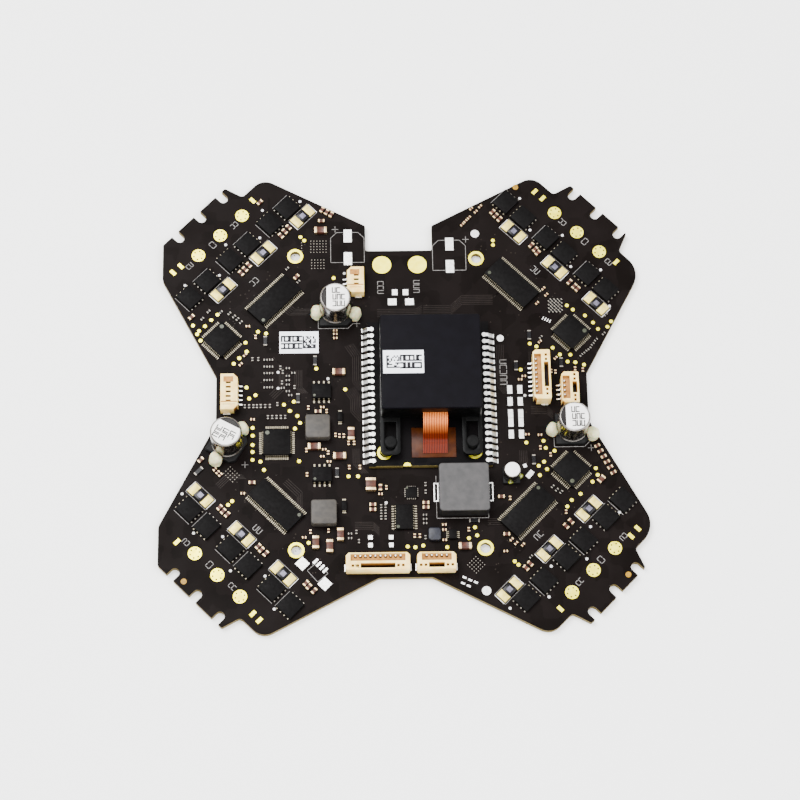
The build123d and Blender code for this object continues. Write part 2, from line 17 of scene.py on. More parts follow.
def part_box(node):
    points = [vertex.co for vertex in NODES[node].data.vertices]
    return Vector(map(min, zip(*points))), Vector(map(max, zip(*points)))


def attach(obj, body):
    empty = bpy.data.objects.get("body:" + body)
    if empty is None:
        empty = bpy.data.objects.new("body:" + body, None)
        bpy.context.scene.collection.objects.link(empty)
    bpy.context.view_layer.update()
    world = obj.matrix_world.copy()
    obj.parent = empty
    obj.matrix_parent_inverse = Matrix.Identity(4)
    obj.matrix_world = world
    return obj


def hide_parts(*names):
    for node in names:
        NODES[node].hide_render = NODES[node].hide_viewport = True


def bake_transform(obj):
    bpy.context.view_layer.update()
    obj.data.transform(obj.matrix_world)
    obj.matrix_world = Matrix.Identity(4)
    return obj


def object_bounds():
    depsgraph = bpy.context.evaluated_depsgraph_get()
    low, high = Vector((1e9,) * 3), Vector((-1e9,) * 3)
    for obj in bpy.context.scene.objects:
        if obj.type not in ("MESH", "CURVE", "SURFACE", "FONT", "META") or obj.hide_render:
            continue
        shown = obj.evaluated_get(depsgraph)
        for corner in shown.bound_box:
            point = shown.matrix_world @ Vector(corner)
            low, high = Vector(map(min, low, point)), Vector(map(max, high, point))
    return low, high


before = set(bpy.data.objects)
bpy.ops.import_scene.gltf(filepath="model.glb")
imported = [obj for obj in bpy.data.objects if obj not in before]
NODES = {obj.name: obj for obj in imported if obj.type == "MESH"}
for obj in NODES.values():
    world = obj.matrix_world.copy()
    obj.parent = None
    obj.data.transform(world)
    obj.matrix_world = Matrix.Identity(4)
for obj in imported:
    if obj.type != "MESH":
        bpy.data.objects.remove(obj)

bl_info = {
    "name": "Speed Controller Board",
    "version": (1, 0, 0),
    "blender": (4, 5, 0),
    "location": "View3D > Sidebar > Board",
    "description": "Builds the visible pieces and finishes of a speed controller board",
    "category": "Object",
}

MM = 0.001
CAD_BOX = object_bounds()
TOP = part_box("main_board")[1].z / MM
MODULE_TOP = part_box("control_module")[1].z / MM
PAD_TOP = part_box("solder_pads")[1].z / MM
INK_T = 0.02
LAND_T = 0.03
SHARP_ANGLE = radians(30)
SMOOTH_ANGLE = radians(40)


# ======================================================================================
# Small helpers
# ======================================================================================
def linear(hex_text):
    """An sRGB hex colour as linear RGBA."""
    channels = [int(hex_text[k : k + 2], 16) / 255 for k in (1, 3, 5)]
    return tuple(c / 12.92 if c <= 0.04045 else ((c + 0.055) / 1.055) ** 2.4 for c in channels) + (1,)


def per_mm(size):
    """Texture scale that gives features of this many millimetres on Object coordinates."""
    return 1 / (size * MM)


def only(*objects):
    """Select just these objects and make the first one active."""
    bpy.ops.object.select_all(action="DESELECT")
    for item in objects:
        item.select_set(True)
    bpy.context.view_layer.objects.active = objects[0]


def apply_all(piece):
    """Put the object's place, turn and scale into its mesh."""
    only(piece)
    bpy.ops.object.transform_apply(location=True, rotation=True, scale=True)


def add_box(size, centre=(0, 0, 0), turn=0.0):
    """A box of this size about this centre, turned about Z in degrees."""
    bpy.ops.object.select_all(action="DESELECT")
    bpy.ops.mesh.primitive_cube_add(
        size=1,
        location=[c * MM for c in centre],
        rotation=(0, 0, radians(turn)),
        scale=[s * MM for s in size],
    )
    piece = bpy.context.object
    apply_all(piece)
    return piece


def add_disc(radius, height, centre=(0, 0, 0), sides=16):
    """A short cylinder standing on the centre given."""
    bpy.ops.object.select_all(action="DESELECT")
    x, y, z = centre
    bpy.ops.mesh.primitive_cylinder_add(
        vertices=sides,
        radius=radius * MM,
        depth=height * MM,
        location=(x * MM, y * MM, (z + height / 2) * MM),
    )
    piece = bpy.context.object
    apply_all(piece)
    return piece


def modify(piece, label, kind, **settings):
    """Add a modifier, set it up and apply it."""
    only(piece)
    modifier = piece.modifiers.new(label, kind)
    for key, value in settings.items():
        setattr(modifier, key, value)
    bpy.ops.object.modifier_apply(modifier=modifier.name)


def bevel(piece, width, segments=2):
    """Round the sharp edges by a width in millimetres."""
    modify(
        piece, "Soft edges", "BEVEL", width=width * MM, segments=segments, limit_method="ANGLE",
        angle_limit=SHARP_ANGLE, harden_normals=False,
    )
    bpy.ops.object.shade_smooth_by_angle(angle=SMOOTH_ANGLE)


def edit_faces(piece, test):
    """Enter edit mode with the faces selected whose centre and normal pass the test."""
    only(piece)
    for poly in piece.data.polygons:
        poly.select = bool(test(poly.center / MM, poly.normal))
    for edge in piece.data.edges:
        edge.select = False
    for vertex in piece.data.vertices:
        vertex.select = False
    for poly in piece.data.polygons:
        if poly.select:
            for index in poly.vertices:
                piece.data.vertices[index].select = True
    bpy.ops.object.mode_set(mode="EDIT")
    bpy.ops.mesh.select_mode(type="FACE")


def leave_edit():
    """Back to object mode."""
    bpy.ops.object.mode_set(mode="OBJECT")


def everything(centre, normal):
    """The test that every face passes."""
    return True


def raise_top(piece, margin, rise):
    """Draw in the top face by a margin and lift it, lengths in millimetres."""
    edit_faces(piece, lambda centre, normal: normal.z > 0.9)
    bpy.ops.mesh.inset(thickness=margin * MM, depth=0)
    bpy.ops.mesh.extrude_region_move(TRANSFORM_OT_translate={"value": (0, 0, rise * MM)})
    leave_edit()


def halve(piece, point, direction):
    """Cut a closed piece by a plane, in metres, and keep the half on the side given."""
    edit_faces(piece, everything)
    bpy.ops.mesh.bisect(plane_co=point, plane_no=direction, use_fill=True, clear_inner=True)
    leave_edit()


def paint(piece, index, test):
    """Give a material slot to the faces whose centre and normal pass the test."""
    for poly in piece.data.polygons:
        if test(poly.center / MM, poly.normal):
            poly.material_index = index


def join(pieces, name):
    """Join pieces into one of this name."""
    only(*pieces)
    if len(pieces) > 1:
        bpy.ops.object.join()
    piece = bpy.context.object
    piece.name = name
    piece.data.name = name
    return piece


def place(x, y, z=0.0, turn=0.0, stretch=(1, 1, 1)):
    """Matrix that turns, stretches and moves a master piece, lengths in millimetres."""
    grow = Matrix.Diagonal((*stretch, 1))
    spin = Matrix.Rotation(radians(turn), 4, "Z")
    return Matrix.Translation((x * MM, y * MM, z * MM)) @ spin @ grow


def turned(x, y, u, v, turn):
    """The point that is u, v from x, y in axes turned by this many degrees."""
    angle = radians(turn)
    return x + u * cos(angle) - v * sin(angle), y + u * sin(angle) + v * cos(angle)


def on_board(places, size):
    """Placing matrices of parts of one size, from x, y and, where there is one, a turn."""
    return [place(x, y, TOP, turn[0] if turn else 0, size) for x, y, *turn in places]


def copy_at(master, matrix, name):
    """One placed copy of a master with its own mesh."""
    piece = bpy.data.objects.new(name, master.data.copy())
    piece.data.transform(matrix)
    bpy.context.collection.objects.link(piece)
    return piece


def copy_and_drop(master, matrix, name):
    """The one placed copy of a master, which is then removed."""
    piece = copy_at(master, matrix, name)
    bpy.data.objects.remove(master)
    return piece


def spread(master, places, name):
    """Copies of a master, each with its own mesh, at the places given, as one piece."""
    copies = [copy_at(master, matrix, name) for matrix in places]
    bpy.data.objects.remove(master)
    return join(copies, name)


def softened(node, width, name=None, segments=2):
    """A rounded copy of a CAD node, which it replaces."""
    piece = bpy.data.objects.new(name or f"{node}_body", NODES[node].data.copy())
    piece.data.materials.clear()
    bpy.context.collection.objects.link(piece)
    edit_faces(piece, everything)
    bpy.ops.mesh.remove_doubles(threshold=0.0002 * MM)
    bpy.ops.mesh.dissolve_limited(angle_limit=radians(1))
    leave_edit()
    if width:
        bevel(piece, width, segments)
    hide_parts(node)
    return piece


def dress(piece, *names):
    """Give a piece its finishes, by name, in slot order."""
    indices = [poly.material_index for poly in piece.data.polygons]
    piece.data.materials.clear()
    for name in names:
        piece.data.materials.append(MATERIALS[name])
    piece.data.polygons.foreach_set("material_index", indices)
    return piece


def hand_over(piece, body):
    """Let a finished piece ride on its body."""
    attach(piece, body)


def lay(master, places, name):
    """Copies of a master at the places given, handed over to the board as one piece."""
    hand_over(spread(master, places, name), "board")


def recolour(finish, *nodes):
    """Give carried-over CAD nodes their finish."""
    for node in nodes:
        NODES[node].data.materials.clear()
        NODES[node].data.materials.append(MATERIALS[finish])


def strokes(segments, width, height, name, finish="legend"):
    """Flat bars between pairs of points, each (x1, y1, x2, y2), as one piece."""
    places = []
    for x1, y1, x2, y2 in segments:
        length = hypot(x2 - x1, y2 - y1) + width
        turn = degrees(atan2(y2 - y1, x2 - x1))
        stretch = (length, width, INK_T)
        places.append(place((x1 + x2) / 2, (y1 + y2) / 2, height + INK_T / 2, turn, stretch))
    return spread(dress(add_box((1, 1, 1)), finish), places, name)


def polyline(points):
    """The runs of a path as pairs of points."""
    return [(*a, *b) for a, b in zip(points, points[1:])]


# ======================================================================================
# Materials
# ======================================================================================
def add_node(tree, kind, settings=None, inputs=None):
    """Add a node, set its properties, then set or link each named input."""
    made = tree.nodes.new(kind)
    for key, value in (settings or {}).items():
        setattr(made, key, value)
    for key, value in (inputs or {}).items():
        if isinstance(value, bpy.types.NodeSocket):
            tree.links.new(value, made.inputs[key])
        else:
            made.inputs[key].default_value = value
    return made


def new_material(name, inputs):
    """A material with one Principled shader set to these inputs, and its coordinates."""
    material = bpy.data.materials.new(name)
    material.use_nodes = True
    tree = material.node_tree
    shader = tree.nodes["Principled BSDF"]
    for key, value in inputs.items():
        shader.inputs[key].default_value = value
    coordinates = add_node(tree, "ShaderNodeTexCoord").outputs["Object"]
    return material, tree, shader, coordinates


def noise(tree, coordinates, size, detail):
    """Noise with features of this many millimetres."""
    inputs = {"Vector": coordinates, "Scale": per_mm(size), "Detail": detail}
    return add_node(tree, "ShaderNodeTexNoise", inputs=inputs).outputs["Fac"]


def map_range(tree, value, low, high, to_low=0.0, to_high=1.0):
    """A value stretched from one range to another."""
    inputs = {"Value": value, "From Min": low, "From Max": high, "To Min": to_low, "To Max": to_high}
    return add_node(tree, "ShaderNodeMapRange", inputs=inputs).outputs["Result"]


def mix(tree, factor, first, second, blend="MIX"):
    """Two colours mixed by a factor."""
    settings = {"data_type": "RGBA", "blend_type": blend}
    inputs = {"Factor": factor, "A": first, "B": second}
    return add_node(tree, "ShaderNodeMix", settings, inputs).outputs["Result"]


def axis(tree, vector, name):
    """One part of a vector: X, Y or Z."""
    return add_node(tree, "ShaderNodeSeparateXYZ", inputs={"Vector": vector}).outputs[name]


def arithmetic(tree, operation, *values):
    """The result of one Math node."""
    return add_node(tree, "ShaderNodeMath", {"operation": operation}, dict(enumerate(values))).outputs[0]


def relief(tree, shader, height, strength, depth):
    """Bump on the shader's normal, its depth in millimetres."""
    inputs = {"Height": height, "Strength": strength, "Distance": depth * MM}
    bump = add_node(tree, "ShaderNodeBump", inputs=inputs)
    tree.links.new(bump.outputs["Normal"], shader.inputs["Normal"])


def mottle(tree, coordinates, size, dark, light):
    """Colour that drifts between two tones over patches of this size."""
    patches = noise(tree, coordinates, size, 3.0)
    ramp = add_node(tree, "ShaderNodeValToRGB", inputs={"Fac": patches})
    for element, position, tone in zip(ramp.color_ramp.elements, (0.35, 0.65), (dark, light)):
        element.position = position
        element.color = linear(tone)
    return ramp.outputs["Color"]


def grain(tree, shader, coordinates, size, strength, depth=0.02):
    """Fine bump of this grain size."""
    relief(tree, shader, noise(tree, coordinates, size, 4.0), strength, depth)


def uneven_gloss(tree, shader, coordinates, size, low, high):
    """Roughness that drifts between two values over patches of this size."""
    drift = map_range(tree, noise(tree, coordinates, size, 3.0), 0.3, 0.7, low, high)
    tree.links.new(drift, shader.inputs["Roughness"])


def plain_finish(name, inputs, dark, light, patch, gloss, grit, strength=0.15, depth=0.02):
    """A mottled, grained finish: two tones, a gloss range and a bump grit size."""
    material, tree, shader, coordinates = new_material(name, inputs)
    tree.links.new(mottle(tree, coordinates, patch, dark, light), shader.inputs["Base Color"])
    uneven_gloss(tree, shader, coordinates, patch * 0.7, *gloss)
    grain(tree, shader, coordinates, grit, strength, depth)
    return material


def solder_mask(name, dark, light, edge):
    """Screened epoxy mask over copper, with the bare glass-epoxy laminate on the cut edge.

    The mask is near black with a satin gloss. Copper areas under it stand a little
    proud and read a touch lighter, and the routed edge is amber with pale glass fibres.
    """
    material, tree, shader, coordinates = new_material(name, {"Specular IOR Level": 0.03})
    islands = add_node(
        tree,
        "ShaderNodeTexVoronoi",
        {"feature": "F1", "distance": "CHEBYCHEV"},
        {"Vector": coordinates, "Scale": per_mm(3.4), "Randomness": 0.85},
    )
    copper = map_range(tree, islands.outputs["Color"], 0.35, 0.4)
    cloud = mottle(tree, coordinates, 9.0, dark, light)
    lighter = mix(tree, copper, cloud, linear("#040303"), "ADD")
    fibre = add_node(
        tree,
        "ShaderNodeTexWave",
        {"wave_type": "BANDS", "bands_direction": "Z"},
        {"Vector": coordinates, "Scale": per_mm(1.2), "Distortion": 2.0, "Detail": 2.0},
    )
    laminate = mix(tree, fibre.outputs["Fac"], linear(edge), linear("#6e5f30"))
    facing = axis(tree, add_node(tree, "ShaderNodeNewGeometry").outputs["Normal"], "Z")
    flat = arithmetic(tree, "GREATER_THAN", arithmetic(tree, "ABSOLUTE", facing), 0.5)
    tree.links.new(mix(tree, flat, laminate, lighter), shader.inputs["Base Color"])
    uneven_gloss(tree, shader, coordinates, 6.0, 0.38, 0.5)
    relief(tree, shader, copper, 0.35, 0.03)
    return material


def striped_polyimide(name):
    """Polyimide film over etched copper tracks: amber film, brighter over each track, and both brighter
    with height, a painted highlight on the crest of the fold with painted shade below it.
    """
    inputs = {"Roughness": 0.4, "Specular IOR Level": 0.12}
    material, tree, shader, coordinates = new_material(name, inputs)
    track_pitch = 0.42 * MM
    phase = arithmetic(tree, "MULTIPLY", axis(tree, coordinates, "X"), 2 * pi / track_pitch)
    tracks = map_range(tree, arithmetic(tree, "SINE", phase), -0.3, 0.4)
    # Painted light: film and tracks darken towards the ribbon's foot and lighten to a painted highlight at
    # its crest.
    rise = map_range(tree, axis(tree, coordinates, "Z"), 5.2 * MM, 8.7 * MM)
    film = mix(tree, rise, mottle(tree, coordinates, 2.5, "#240500", "#340b00"), linear("#6b1c00"))
    track = mix(tree, rise, linear("#641a00"), linear("#e8843a"))
    tree.links.new(mix(tree, tracks, film, track), shader.inputs["Base Color"])
    relief(tree, shader, tracks, 0.5, 0.03)
    return material


def shaded_nylon(name):
    """Nylon inside a socket: amber at the rim, deep brown where little light gets down."""
    inputs = {"Specular IOR Level": 0.2, "Roughness": 0.5}
    material, tree, shader, coordinates = new_material(name, inputs)
    level = map_range(tree, axis(tree, coordinates, "Z"), (TOP + 1.2) * MM, (TOP + 4.0) * MM)
    shallow = mottle(tree, coordinates, 1.0, "#a06a28", "#ba8440")
    tree.links.new(mix(tree, level, linear("#1a0802"), shallow), shader.inputs["Base Color"])
    grain(tree, shader, coordinates, 0.15, 0.2)
    return material


# Each plain finish: name, shader inputs, dark and light tone, patch size, gloss range, grit
# size, and where they differ from the usual, bump strength and depth. Sizes in millimetres.
METAL = {"Metallic": 1.0}


def sheen(level):
    """Shader inputs of a plastic, ink or ceramic with this specular level."""
    return {"Specular IOR Level": level}


FINISHES = {
    # Mask over a copper track: the same ink, a shade lighter where it is thin.
    "trace": ("Masked track", sheen(0.08), "#16110f", "#1e1815", 1.5, (0.35, 0.45), 0.1),
    # Immersion gold over nickel: pale straw colour, soft sheen.
    "gold": ("Immersion gold", METAL, "#f0e030", "#fbf158", 1.4, (0.35, 0.5), 0.12),
    # Solder-levelled tin: near white, soft sheen with faint ripples.
    "tin": ("Levelled solder", METAL, "#e6e4e0", "#f9f8f4", 0.6, (0.25, 0.4), 0.25, 0.5, 0.04),
    # Plated leads: warm dull tin.
    "lead": ("Plated leads", METAL, "#716b5c", "#918976", 0.5, (0.35, 0.5), 0.1),
    # Leads and ends that sit low between parts: the same tin, darker, as painted shade.
    "dim lead": ("Tin in painted shade", METAL, "#6d6861", "#8b857b", 0.4, (0.4, 0.55), 0.1),
    # Fired silver-palladium ends of chip parts, warm from the flux.
    "chip end": ("Fired chip ends", METAL, "#c6a878", "#e4cca0", 0.6, (0.35, 0.5), 0.1),
    # Silica-filled epoxy: charcoal black with a sandy mould texture.
    "mould": ("Moulded epoxy", sheen(0.05), "#040303", "#080707", 0.9, (0.5, 0.62), 0.06, 0.4, 0.01),
    # A polished ejector mark in moulded epoxy: smoother and a little lighter.
    "dimple": ("Ejector mark", sheen(0.3), "#2b2e22", "#3d4031", 0.6, (0.25, 0.35), 0.1),
    # Barium titanate ceramic: fired red-brown, very fine grain.
    "ceramic": ("Fired ceramic", sheen(0.25), "#2e150b", "#472416", 0.7, (0.35, 0.5), 0.05),
    # Glazed resistor body: black glass coat on alumina.
    "resistor": ("Glazed resistor", sheen(0.15), "#060506", "#0c0b0d", 0.4, (0.2, 0.35), 0.05),
    # Copper-alloy shunt caps, tinned and yellowed by the solder flux.
    "cap": ("Tinned caps", {"Metallic": 0.4}, "#d0bb50", "#e4d074", 0.9, (0.4, 0.55), 0.15, 0.3),
    # Resistive alloy element: grey-violet, satin.
    "alloy": ("Resistive alloy", METAL, "#56535f", "#6c6978", 0.5, (0.4, 0.5), 0.08),
    # Drawn aluminium sleeve in its clear film: dark, because it mirrors the board.
    "sleeve": (
        "Drawn aluminium", {**METAL, "Coat Weight": 0.3}, "#6a6560", "#827c76", 2.0, (0.2, 0.3), 0.15,
        0.1,
    ),
    # White print on the can's coated top.
    "can white": ("White coating", sheen(0.4), "#e9e6e1", "#f5f2ee", 1.5, (0.35, 0.45), 0.1),
    # Dark polarity segment on a can.
    "dark ink": ("Dark segment ink", sheen(0.15), "#12100f", "#1b1816", 1.2, (0.3, 0.4), 0.08),
    # Grey print on a can's white top.
    "can ink": ("Grey can print", sheen(0.1), "#141312", "#201e1d", 0.5, (0.5, 0.6), 0.08),
    # Glass-filled phenolic base: matt black.
    "base": ("Phenolic base", sheen(0.15), "#040404", "#080707", 0.8, (0.55, 0.7), 0.08),
    # Pressed iron powder with a grey resin coat: even grey, slightly pitted.
    "powder": ("Pressed powder core", sheen(0.3), "#302f2f", "#3a3838", 2.2, (0.5, 0.62), 0.12, 0.35),
    # The flanks of the same core, below its top: nearly black.
    "powder side": ("Core flank", sheen(0.2), "#0c0b0b", "#171515", 1.2, (0.55, 0.65), 0.1),
    # Darker ferrite of the small inductor, blue-black.
    "ferrite": ("Ferrite", sheen(0.35), "#0b0c14", "#151722", 0.8, (0.4, 0.5), 0.08),
    # Warm grey epoxy cover of the two buck inductors.
    "warm ferrite": ("Coated ferrite", sheen(0.3), "#2b2825", "#36322d", 1.6, (0.48, 0.6), 0.1, 0.3),
    # High-temperature nylon: warm cream, slightly waxy.
    "nylon": (
        "Moulded nylon", {"Subsurface Weight": 0.1, "Subsurface Scale": 0.3 * MM}, "#efc566", "#fbdf92",
        1.8, (0.38, 0.5), 0.1,
    ),
    # Fine-textured polycarbonate of the sensor lid: black, with a faint blue of painted reflection.
    "block": (
        "Textured polycarbonate", sheen(0.05), "#040306", "#060509", 3.0, (0.5, 0.58), 0.05, 0.5, 0.01,
    ),
    # The same plastic in the housing and bracket, without the texture: plain black, a touch darker than
    # the lid as painted shade.
    "block side": ("Black polycarbonate", sheen(0.08), "#020202", "#040404", 3.0, (0.35, 0.45), 0.08, 0.1),
    # Soft silicone rubber, black, with a bloom.
    "rubber": ("Silicone rubber", sheen(0.1), "#030303", "#070707", 0.8, (0.6, 0.75), 0.1),
    # Plain polyimide sheet over copper: amber-brown and glossy.
    "film": ("Polyimide sheet", sheen(0.1), "#280c00", "#3b1900", 2.4, (0.3, 0.4), 0.3),
    # Room-temperature adhesive: greenish cream, rubbery, slightly see-through.
    "glue": (
        "Cured adhesive", {"Subsurface Weight": 0.4, "Subsurface Scale": 1.0 * MM, "Coat Weight": 0.3},
        "#bcb98c", "#d8d3a8", 2.0, (0.3, 0.45), 0.5,
    ),
    # Left-over soldering flux: clear yellow-green glaze over the mask.
    "flux": (
        "Soldering flux", {"Coat Weight": 0.8, "Coat Roughness": 0.08}, "#3c3f06", "#7f8512", 0.9,
        (0.15, 0.25), 0.4,
    ),
    # White label stock, slightly blue.
    "paper": ("Label paper", sheen(0.25), "#e8ebf2", "#f3f5fa", 1.0, (0.6, 0.7), 0.05),
    # Black thermal print.
    "print": ("Label print", sheen(0.2), "#0c0d10", "#15161a", 0.5, (0.6, 0.7), 0.05),
    # Screened legend ink, thin: the mask shows through it.
    "legend": ("Thin legend ink", sheen(0.25), "#5b5856", "#817e7b", 0.5, (0.55, 0.65), 0.08),
    # Denser legend ink of the dots and marks.
    "legend bright": ("Thick legend ink", sheen(0.3), "#b4b2b0", "#d8d6d4", 0.5, (0.5, 0.6), 0.08),
    # Tented vias: mask sunk over a copper barrel, a shade lighter than the board.
    "via": ("Tented via", sheen(0.1), "#17120f", "#261f18", 0.5, (0.3, 0.4), 0.05),
    # Bare laminate in the tooling spots: glowing amber.
    "laminate": ("Bare laminate", sheen(0.3), "#7a5600", "#9c7606", 0.6, (0.35, 0.45), 0.1),
    # Sawn laminate edge of the module: olive-amber.
    "bare edge": ("Sawn laminate", sheen(0.3), "#54471a", "#7a6a2c", 0.6, (0.5, 0.6), 0.1),
    # Turned brass of the hidden weight.
    "brass": ("Turned brass", METAL, "#b08d4a", "#c7a560", 2.0, (0.25, 0.35), 0.2),
}
MATERIALS = {}


def make_materials():
    """All the finishes, by the name of what each one is."""
    for name, finish in FINISHES.items():
        MATERIALS[name] = plain_finish(*finish)
    # Screened mask on the main board: brown-black, satin. The module's mask and cut edge are darker still:
    # painted shadow of the sensor block over it.
    MATERIALS["mask"] = solder_mask("Solder mask", "#070403", "#0c0807", "#4a3c14")
    MATERIALS["module mask"] = solder_mask("Module mask in painted shadow", "#020202", "#050405", "#0d0b09")
    MATERIALS["nylon inside"] = shaded_nylon("Nylon in shade")
    MATERIALS["ribbon"] = striped_polyimide("Flex ribbon")


# ======================================================================================
# Places on the board, in millimetres
# ======================================================================================
# The four arms: signs of the direction, shift of the phases, side of the shunts, side of
# the transistor that lies across, and which of its long sides has the screened line.
ARMS = {
    "1": {"x": -1, "y": 1, "shift": -0.6, "shunt": 4.4, "pair": 1, "line": 1, "driver": (-3.7, 42.6)},
    "2": {"x": 1, "y": 1, "shift": 0.9, "shunt": -4.1, "pair": -1, "line": -1, "driver": (1.7, 43.0)},
    "3": {"x": -1, "y": -1, "shift": 0.2, "shunt": -3.8, "pair": -1, "line": 1, "driver": (-2.8, 42.9)},
    "4": {"x": 1, "y": -1, "shift": -1.3, "shunt": 4.5, "pair": 1, "line": -1, "driver": (-0.3, 43.6)},
}
PHASES = (-1, 0, 1)
# Between phases on an arm, from the middle of a phase to each of its two transistors, and
# from a transistor to its screened line; then how far out the transistors and shunts sit.
PHASE_PITCH = 14.7
PAIR_SHIFT = 3.2
LINE_SHIFT = 2.75
TRANSISTOR_ROW = 58.9
SHUNT_ROW = 54.3
CONTROLLERS = {
    "1": (-46.3, 16.5, -45), "2": (44.1, 17.7, -135), "3": (-32.1, -11.7, 0), "4": (42.5, -19.8, 135),
}


def phase_centres(arm):
    """How far across an arm the middle of each phase is."""
    return [arm["shift"] + PHASE_PITCH * k for k in PHASES]


def on_arm(arm, across, along):
    """Plan position of a point given across and along one arm."""
    return arm["x"] * (along - across) / sqrt(2), arm["y"] * (along + across) / sqrt(2)


def arm_turn(arm):
    """Turn about Z that takes +Y to the arm's outward direction."""
    return degrees(atan2(arm["y"], arm["x"])) - 90


def arm_place(arm, across, along, z=TOP, turn=0.0):
    """Placing matrix of a point on an arm."""
    return place(*on_arm(arm, across, along), z, arm_turn(arm) + turn)


# Bare gold test points.
TEST_POINTS = [
    (-37, 18.9), (-34.9, 18.4), (-40.2, 15.9), (-39.9, 13.4), (-41.8, 11.6), (-43.2, 10.1), (-39.9, 3.5),
    (-39.2, 0.5), (-37.6, 1.4), (-22, 8.5), (-14.6, 2.7), (-27.8, -0.5), (-30.3, -1.3), (-28.8, -3),
    (-26.9, -4.4), (-26.2, -6.3), (-27.5, -7.8), (-38.3, -7.5), (-38.3, -9.6), (-38.3, -12.1),
    (-38.3, -14), (-38.3, -16.1), (-36.3, -16.6), (-35.4, -18.8), (-26.5, -16.6), (-24.2, -38.2),
    (-43.4, -27), (-44.4, -28), (-25.9, 45.6), (-24.9, 44.6), (-47.5, 23.8), (-49.1, 22.3), (-50.7, 20.6),
    (-52.2, 19.3), (-52.7, 18.4), (-51.8, 16.6), (-53.8, 20.8), (33.3, 14.8), (35, 14), (39.2, 13.6),
    (41, 11.7), (43.7, 11.6), (42.9, 9.7), (44.9, 9.5), (47.1, 8.8), (30.7, 7.6), (31.4, -12.3),
    (35.8, -11.9), (36.3, -13.8), (38.5, -14.6), (34.3, -18.6), (35.7, -17.5), (36.4, -19.5),
    (34.5, -21.1), (48.8, -19.4), (49.2, -21.2), (47.8, -23), (44.6, -26.2), (42.3, -27.8), (41.1, -29.5),
    (27.3, -43.7), (28.2, -44.6), (24.7, 44.1), (24.7, 42.8), (43.4, 25.4), (44.9, 24.2), (48, 22.5),
    (50, 20.5), (51.2, 18.7), (54.7, 20.8), (53.7, 19.3), (-14, -20.8), (-11.6, -20.8), (0.6, -39.5),
    (2.5, -39.7), (4.5, -39.3), (10.5, -39.8), (16, -37.5), (17.6, -34.7), (18.1, -36.8), (-17.3, 33.8),
]
TOOLING_SPOTS = [(31.2, 59.5), (-55.3, -47.8), (55.6, -47.5)]
FIDUCIALS = [(25.7, 16.4, 0.9), (20, 46.1, 1.1), (20, -51.2, 1.15)]
# Small gold pads near the wire pads: x, y and turn.
SENSE_PADS = [
    (-59.2, 35.8, 45), (-57.2, 37.6, 45), (-38.5, 56.3, 45), (36.3, 58.2, -45), (38.3, 56.2, -45),
    (56.9, 37.6, -45), (-57.1, -37.5, -45), (-38.1, -56.3, -45), (-36.5, -58, -45), (58.6, -35.5, 45),
    (56.8, -37.5, 45), (38.2, -56.1, 45),
]
# Bare solder lands of parts that are left off: x, y, width, depth and, below, turn.
BARE_LANDS = [
    (-13.5, 45.8, 2.1, 3.6), (-13.5, 39.3, 2.1, 3.6), (13.2, 43.2, 2.1, 3.6), (13.2, 36.8, 2.1, 3.6),
    (-1.4, 29.6, 1.4, 1.6), (1.4, 29.6, 1.4, 1.6), (-2.1, 26.9, 2.2, 1.8), (2.4, 26.9, 2.2, 1.8),
    (-8.7, -37, 1.1, 1.1), (-8.7, -39, 1.1, 1.1), (-3.5, -37, 1.1, 1.1), (-3.5, -39, 1.1, 1.1),
]
TURNED_LANDS = [
    (-25.8, -43.6, 2.6, 2.6, 45), (-20.2, -48.9, 2.6, 2.6, 45), (-22.5, -43, 0.6, 1.6, -45),
    (-21.7, -43.8, 0.6, 1.6, -45), (-20.9, -44.6, 0.6, 1.6, -45), (-20.1, -45.4, 0.6, 1.6, -45),
    (37.0, 21.9, 0.25, 0.9, -30), (37.6, 21.6, 0.25, 0.9, -30), (38.2, 21.3, 0.25, 0.9, -30),
    (38.8, 21.0, 0.25, 0.9, -30), (14.6, -47.7, 1.0, 0.5, -25), (16.0, -48.4, 1.0, 0.5, -25),
    (17.4, -49.0, 1.0, 0.5, -25), (14.2, -49.2, 1.0, 0.5, -25), (15.6, -49.9, 1.0, 0.5, -25),
    (30.8, -18.5, 0.9, 0.9, 20), (32.0, -20.8, 1.2, 2.2, -40),
]
LAND_ROWS_Y = [3.4, 0.1, -3.2, -5.6, -8.8]

# Large ceramic capacitors, by size: x, y and turn of the long side.
LARGE_CAPS = {
    (3.2, 1.6, 1.2): [
        (-16.2, 7.3, 0), (-16.2, -15.5, 0), (-22.6, -12.9, 0), (-13.2, -9.6, 90), (-22.4, -38.3, 90),
        (-18.9, -39.3, 90), (-16.2, -36.3, 90), (15.0, -39.7, 0), (-20.6, 47.2, 0),
    ],
    (3.2, 2.5, 1.6): [(-8.4, -23.3, 90)],
    (2.0, 1.25, 1.0): [(50.0, -22.5, 45)],
}
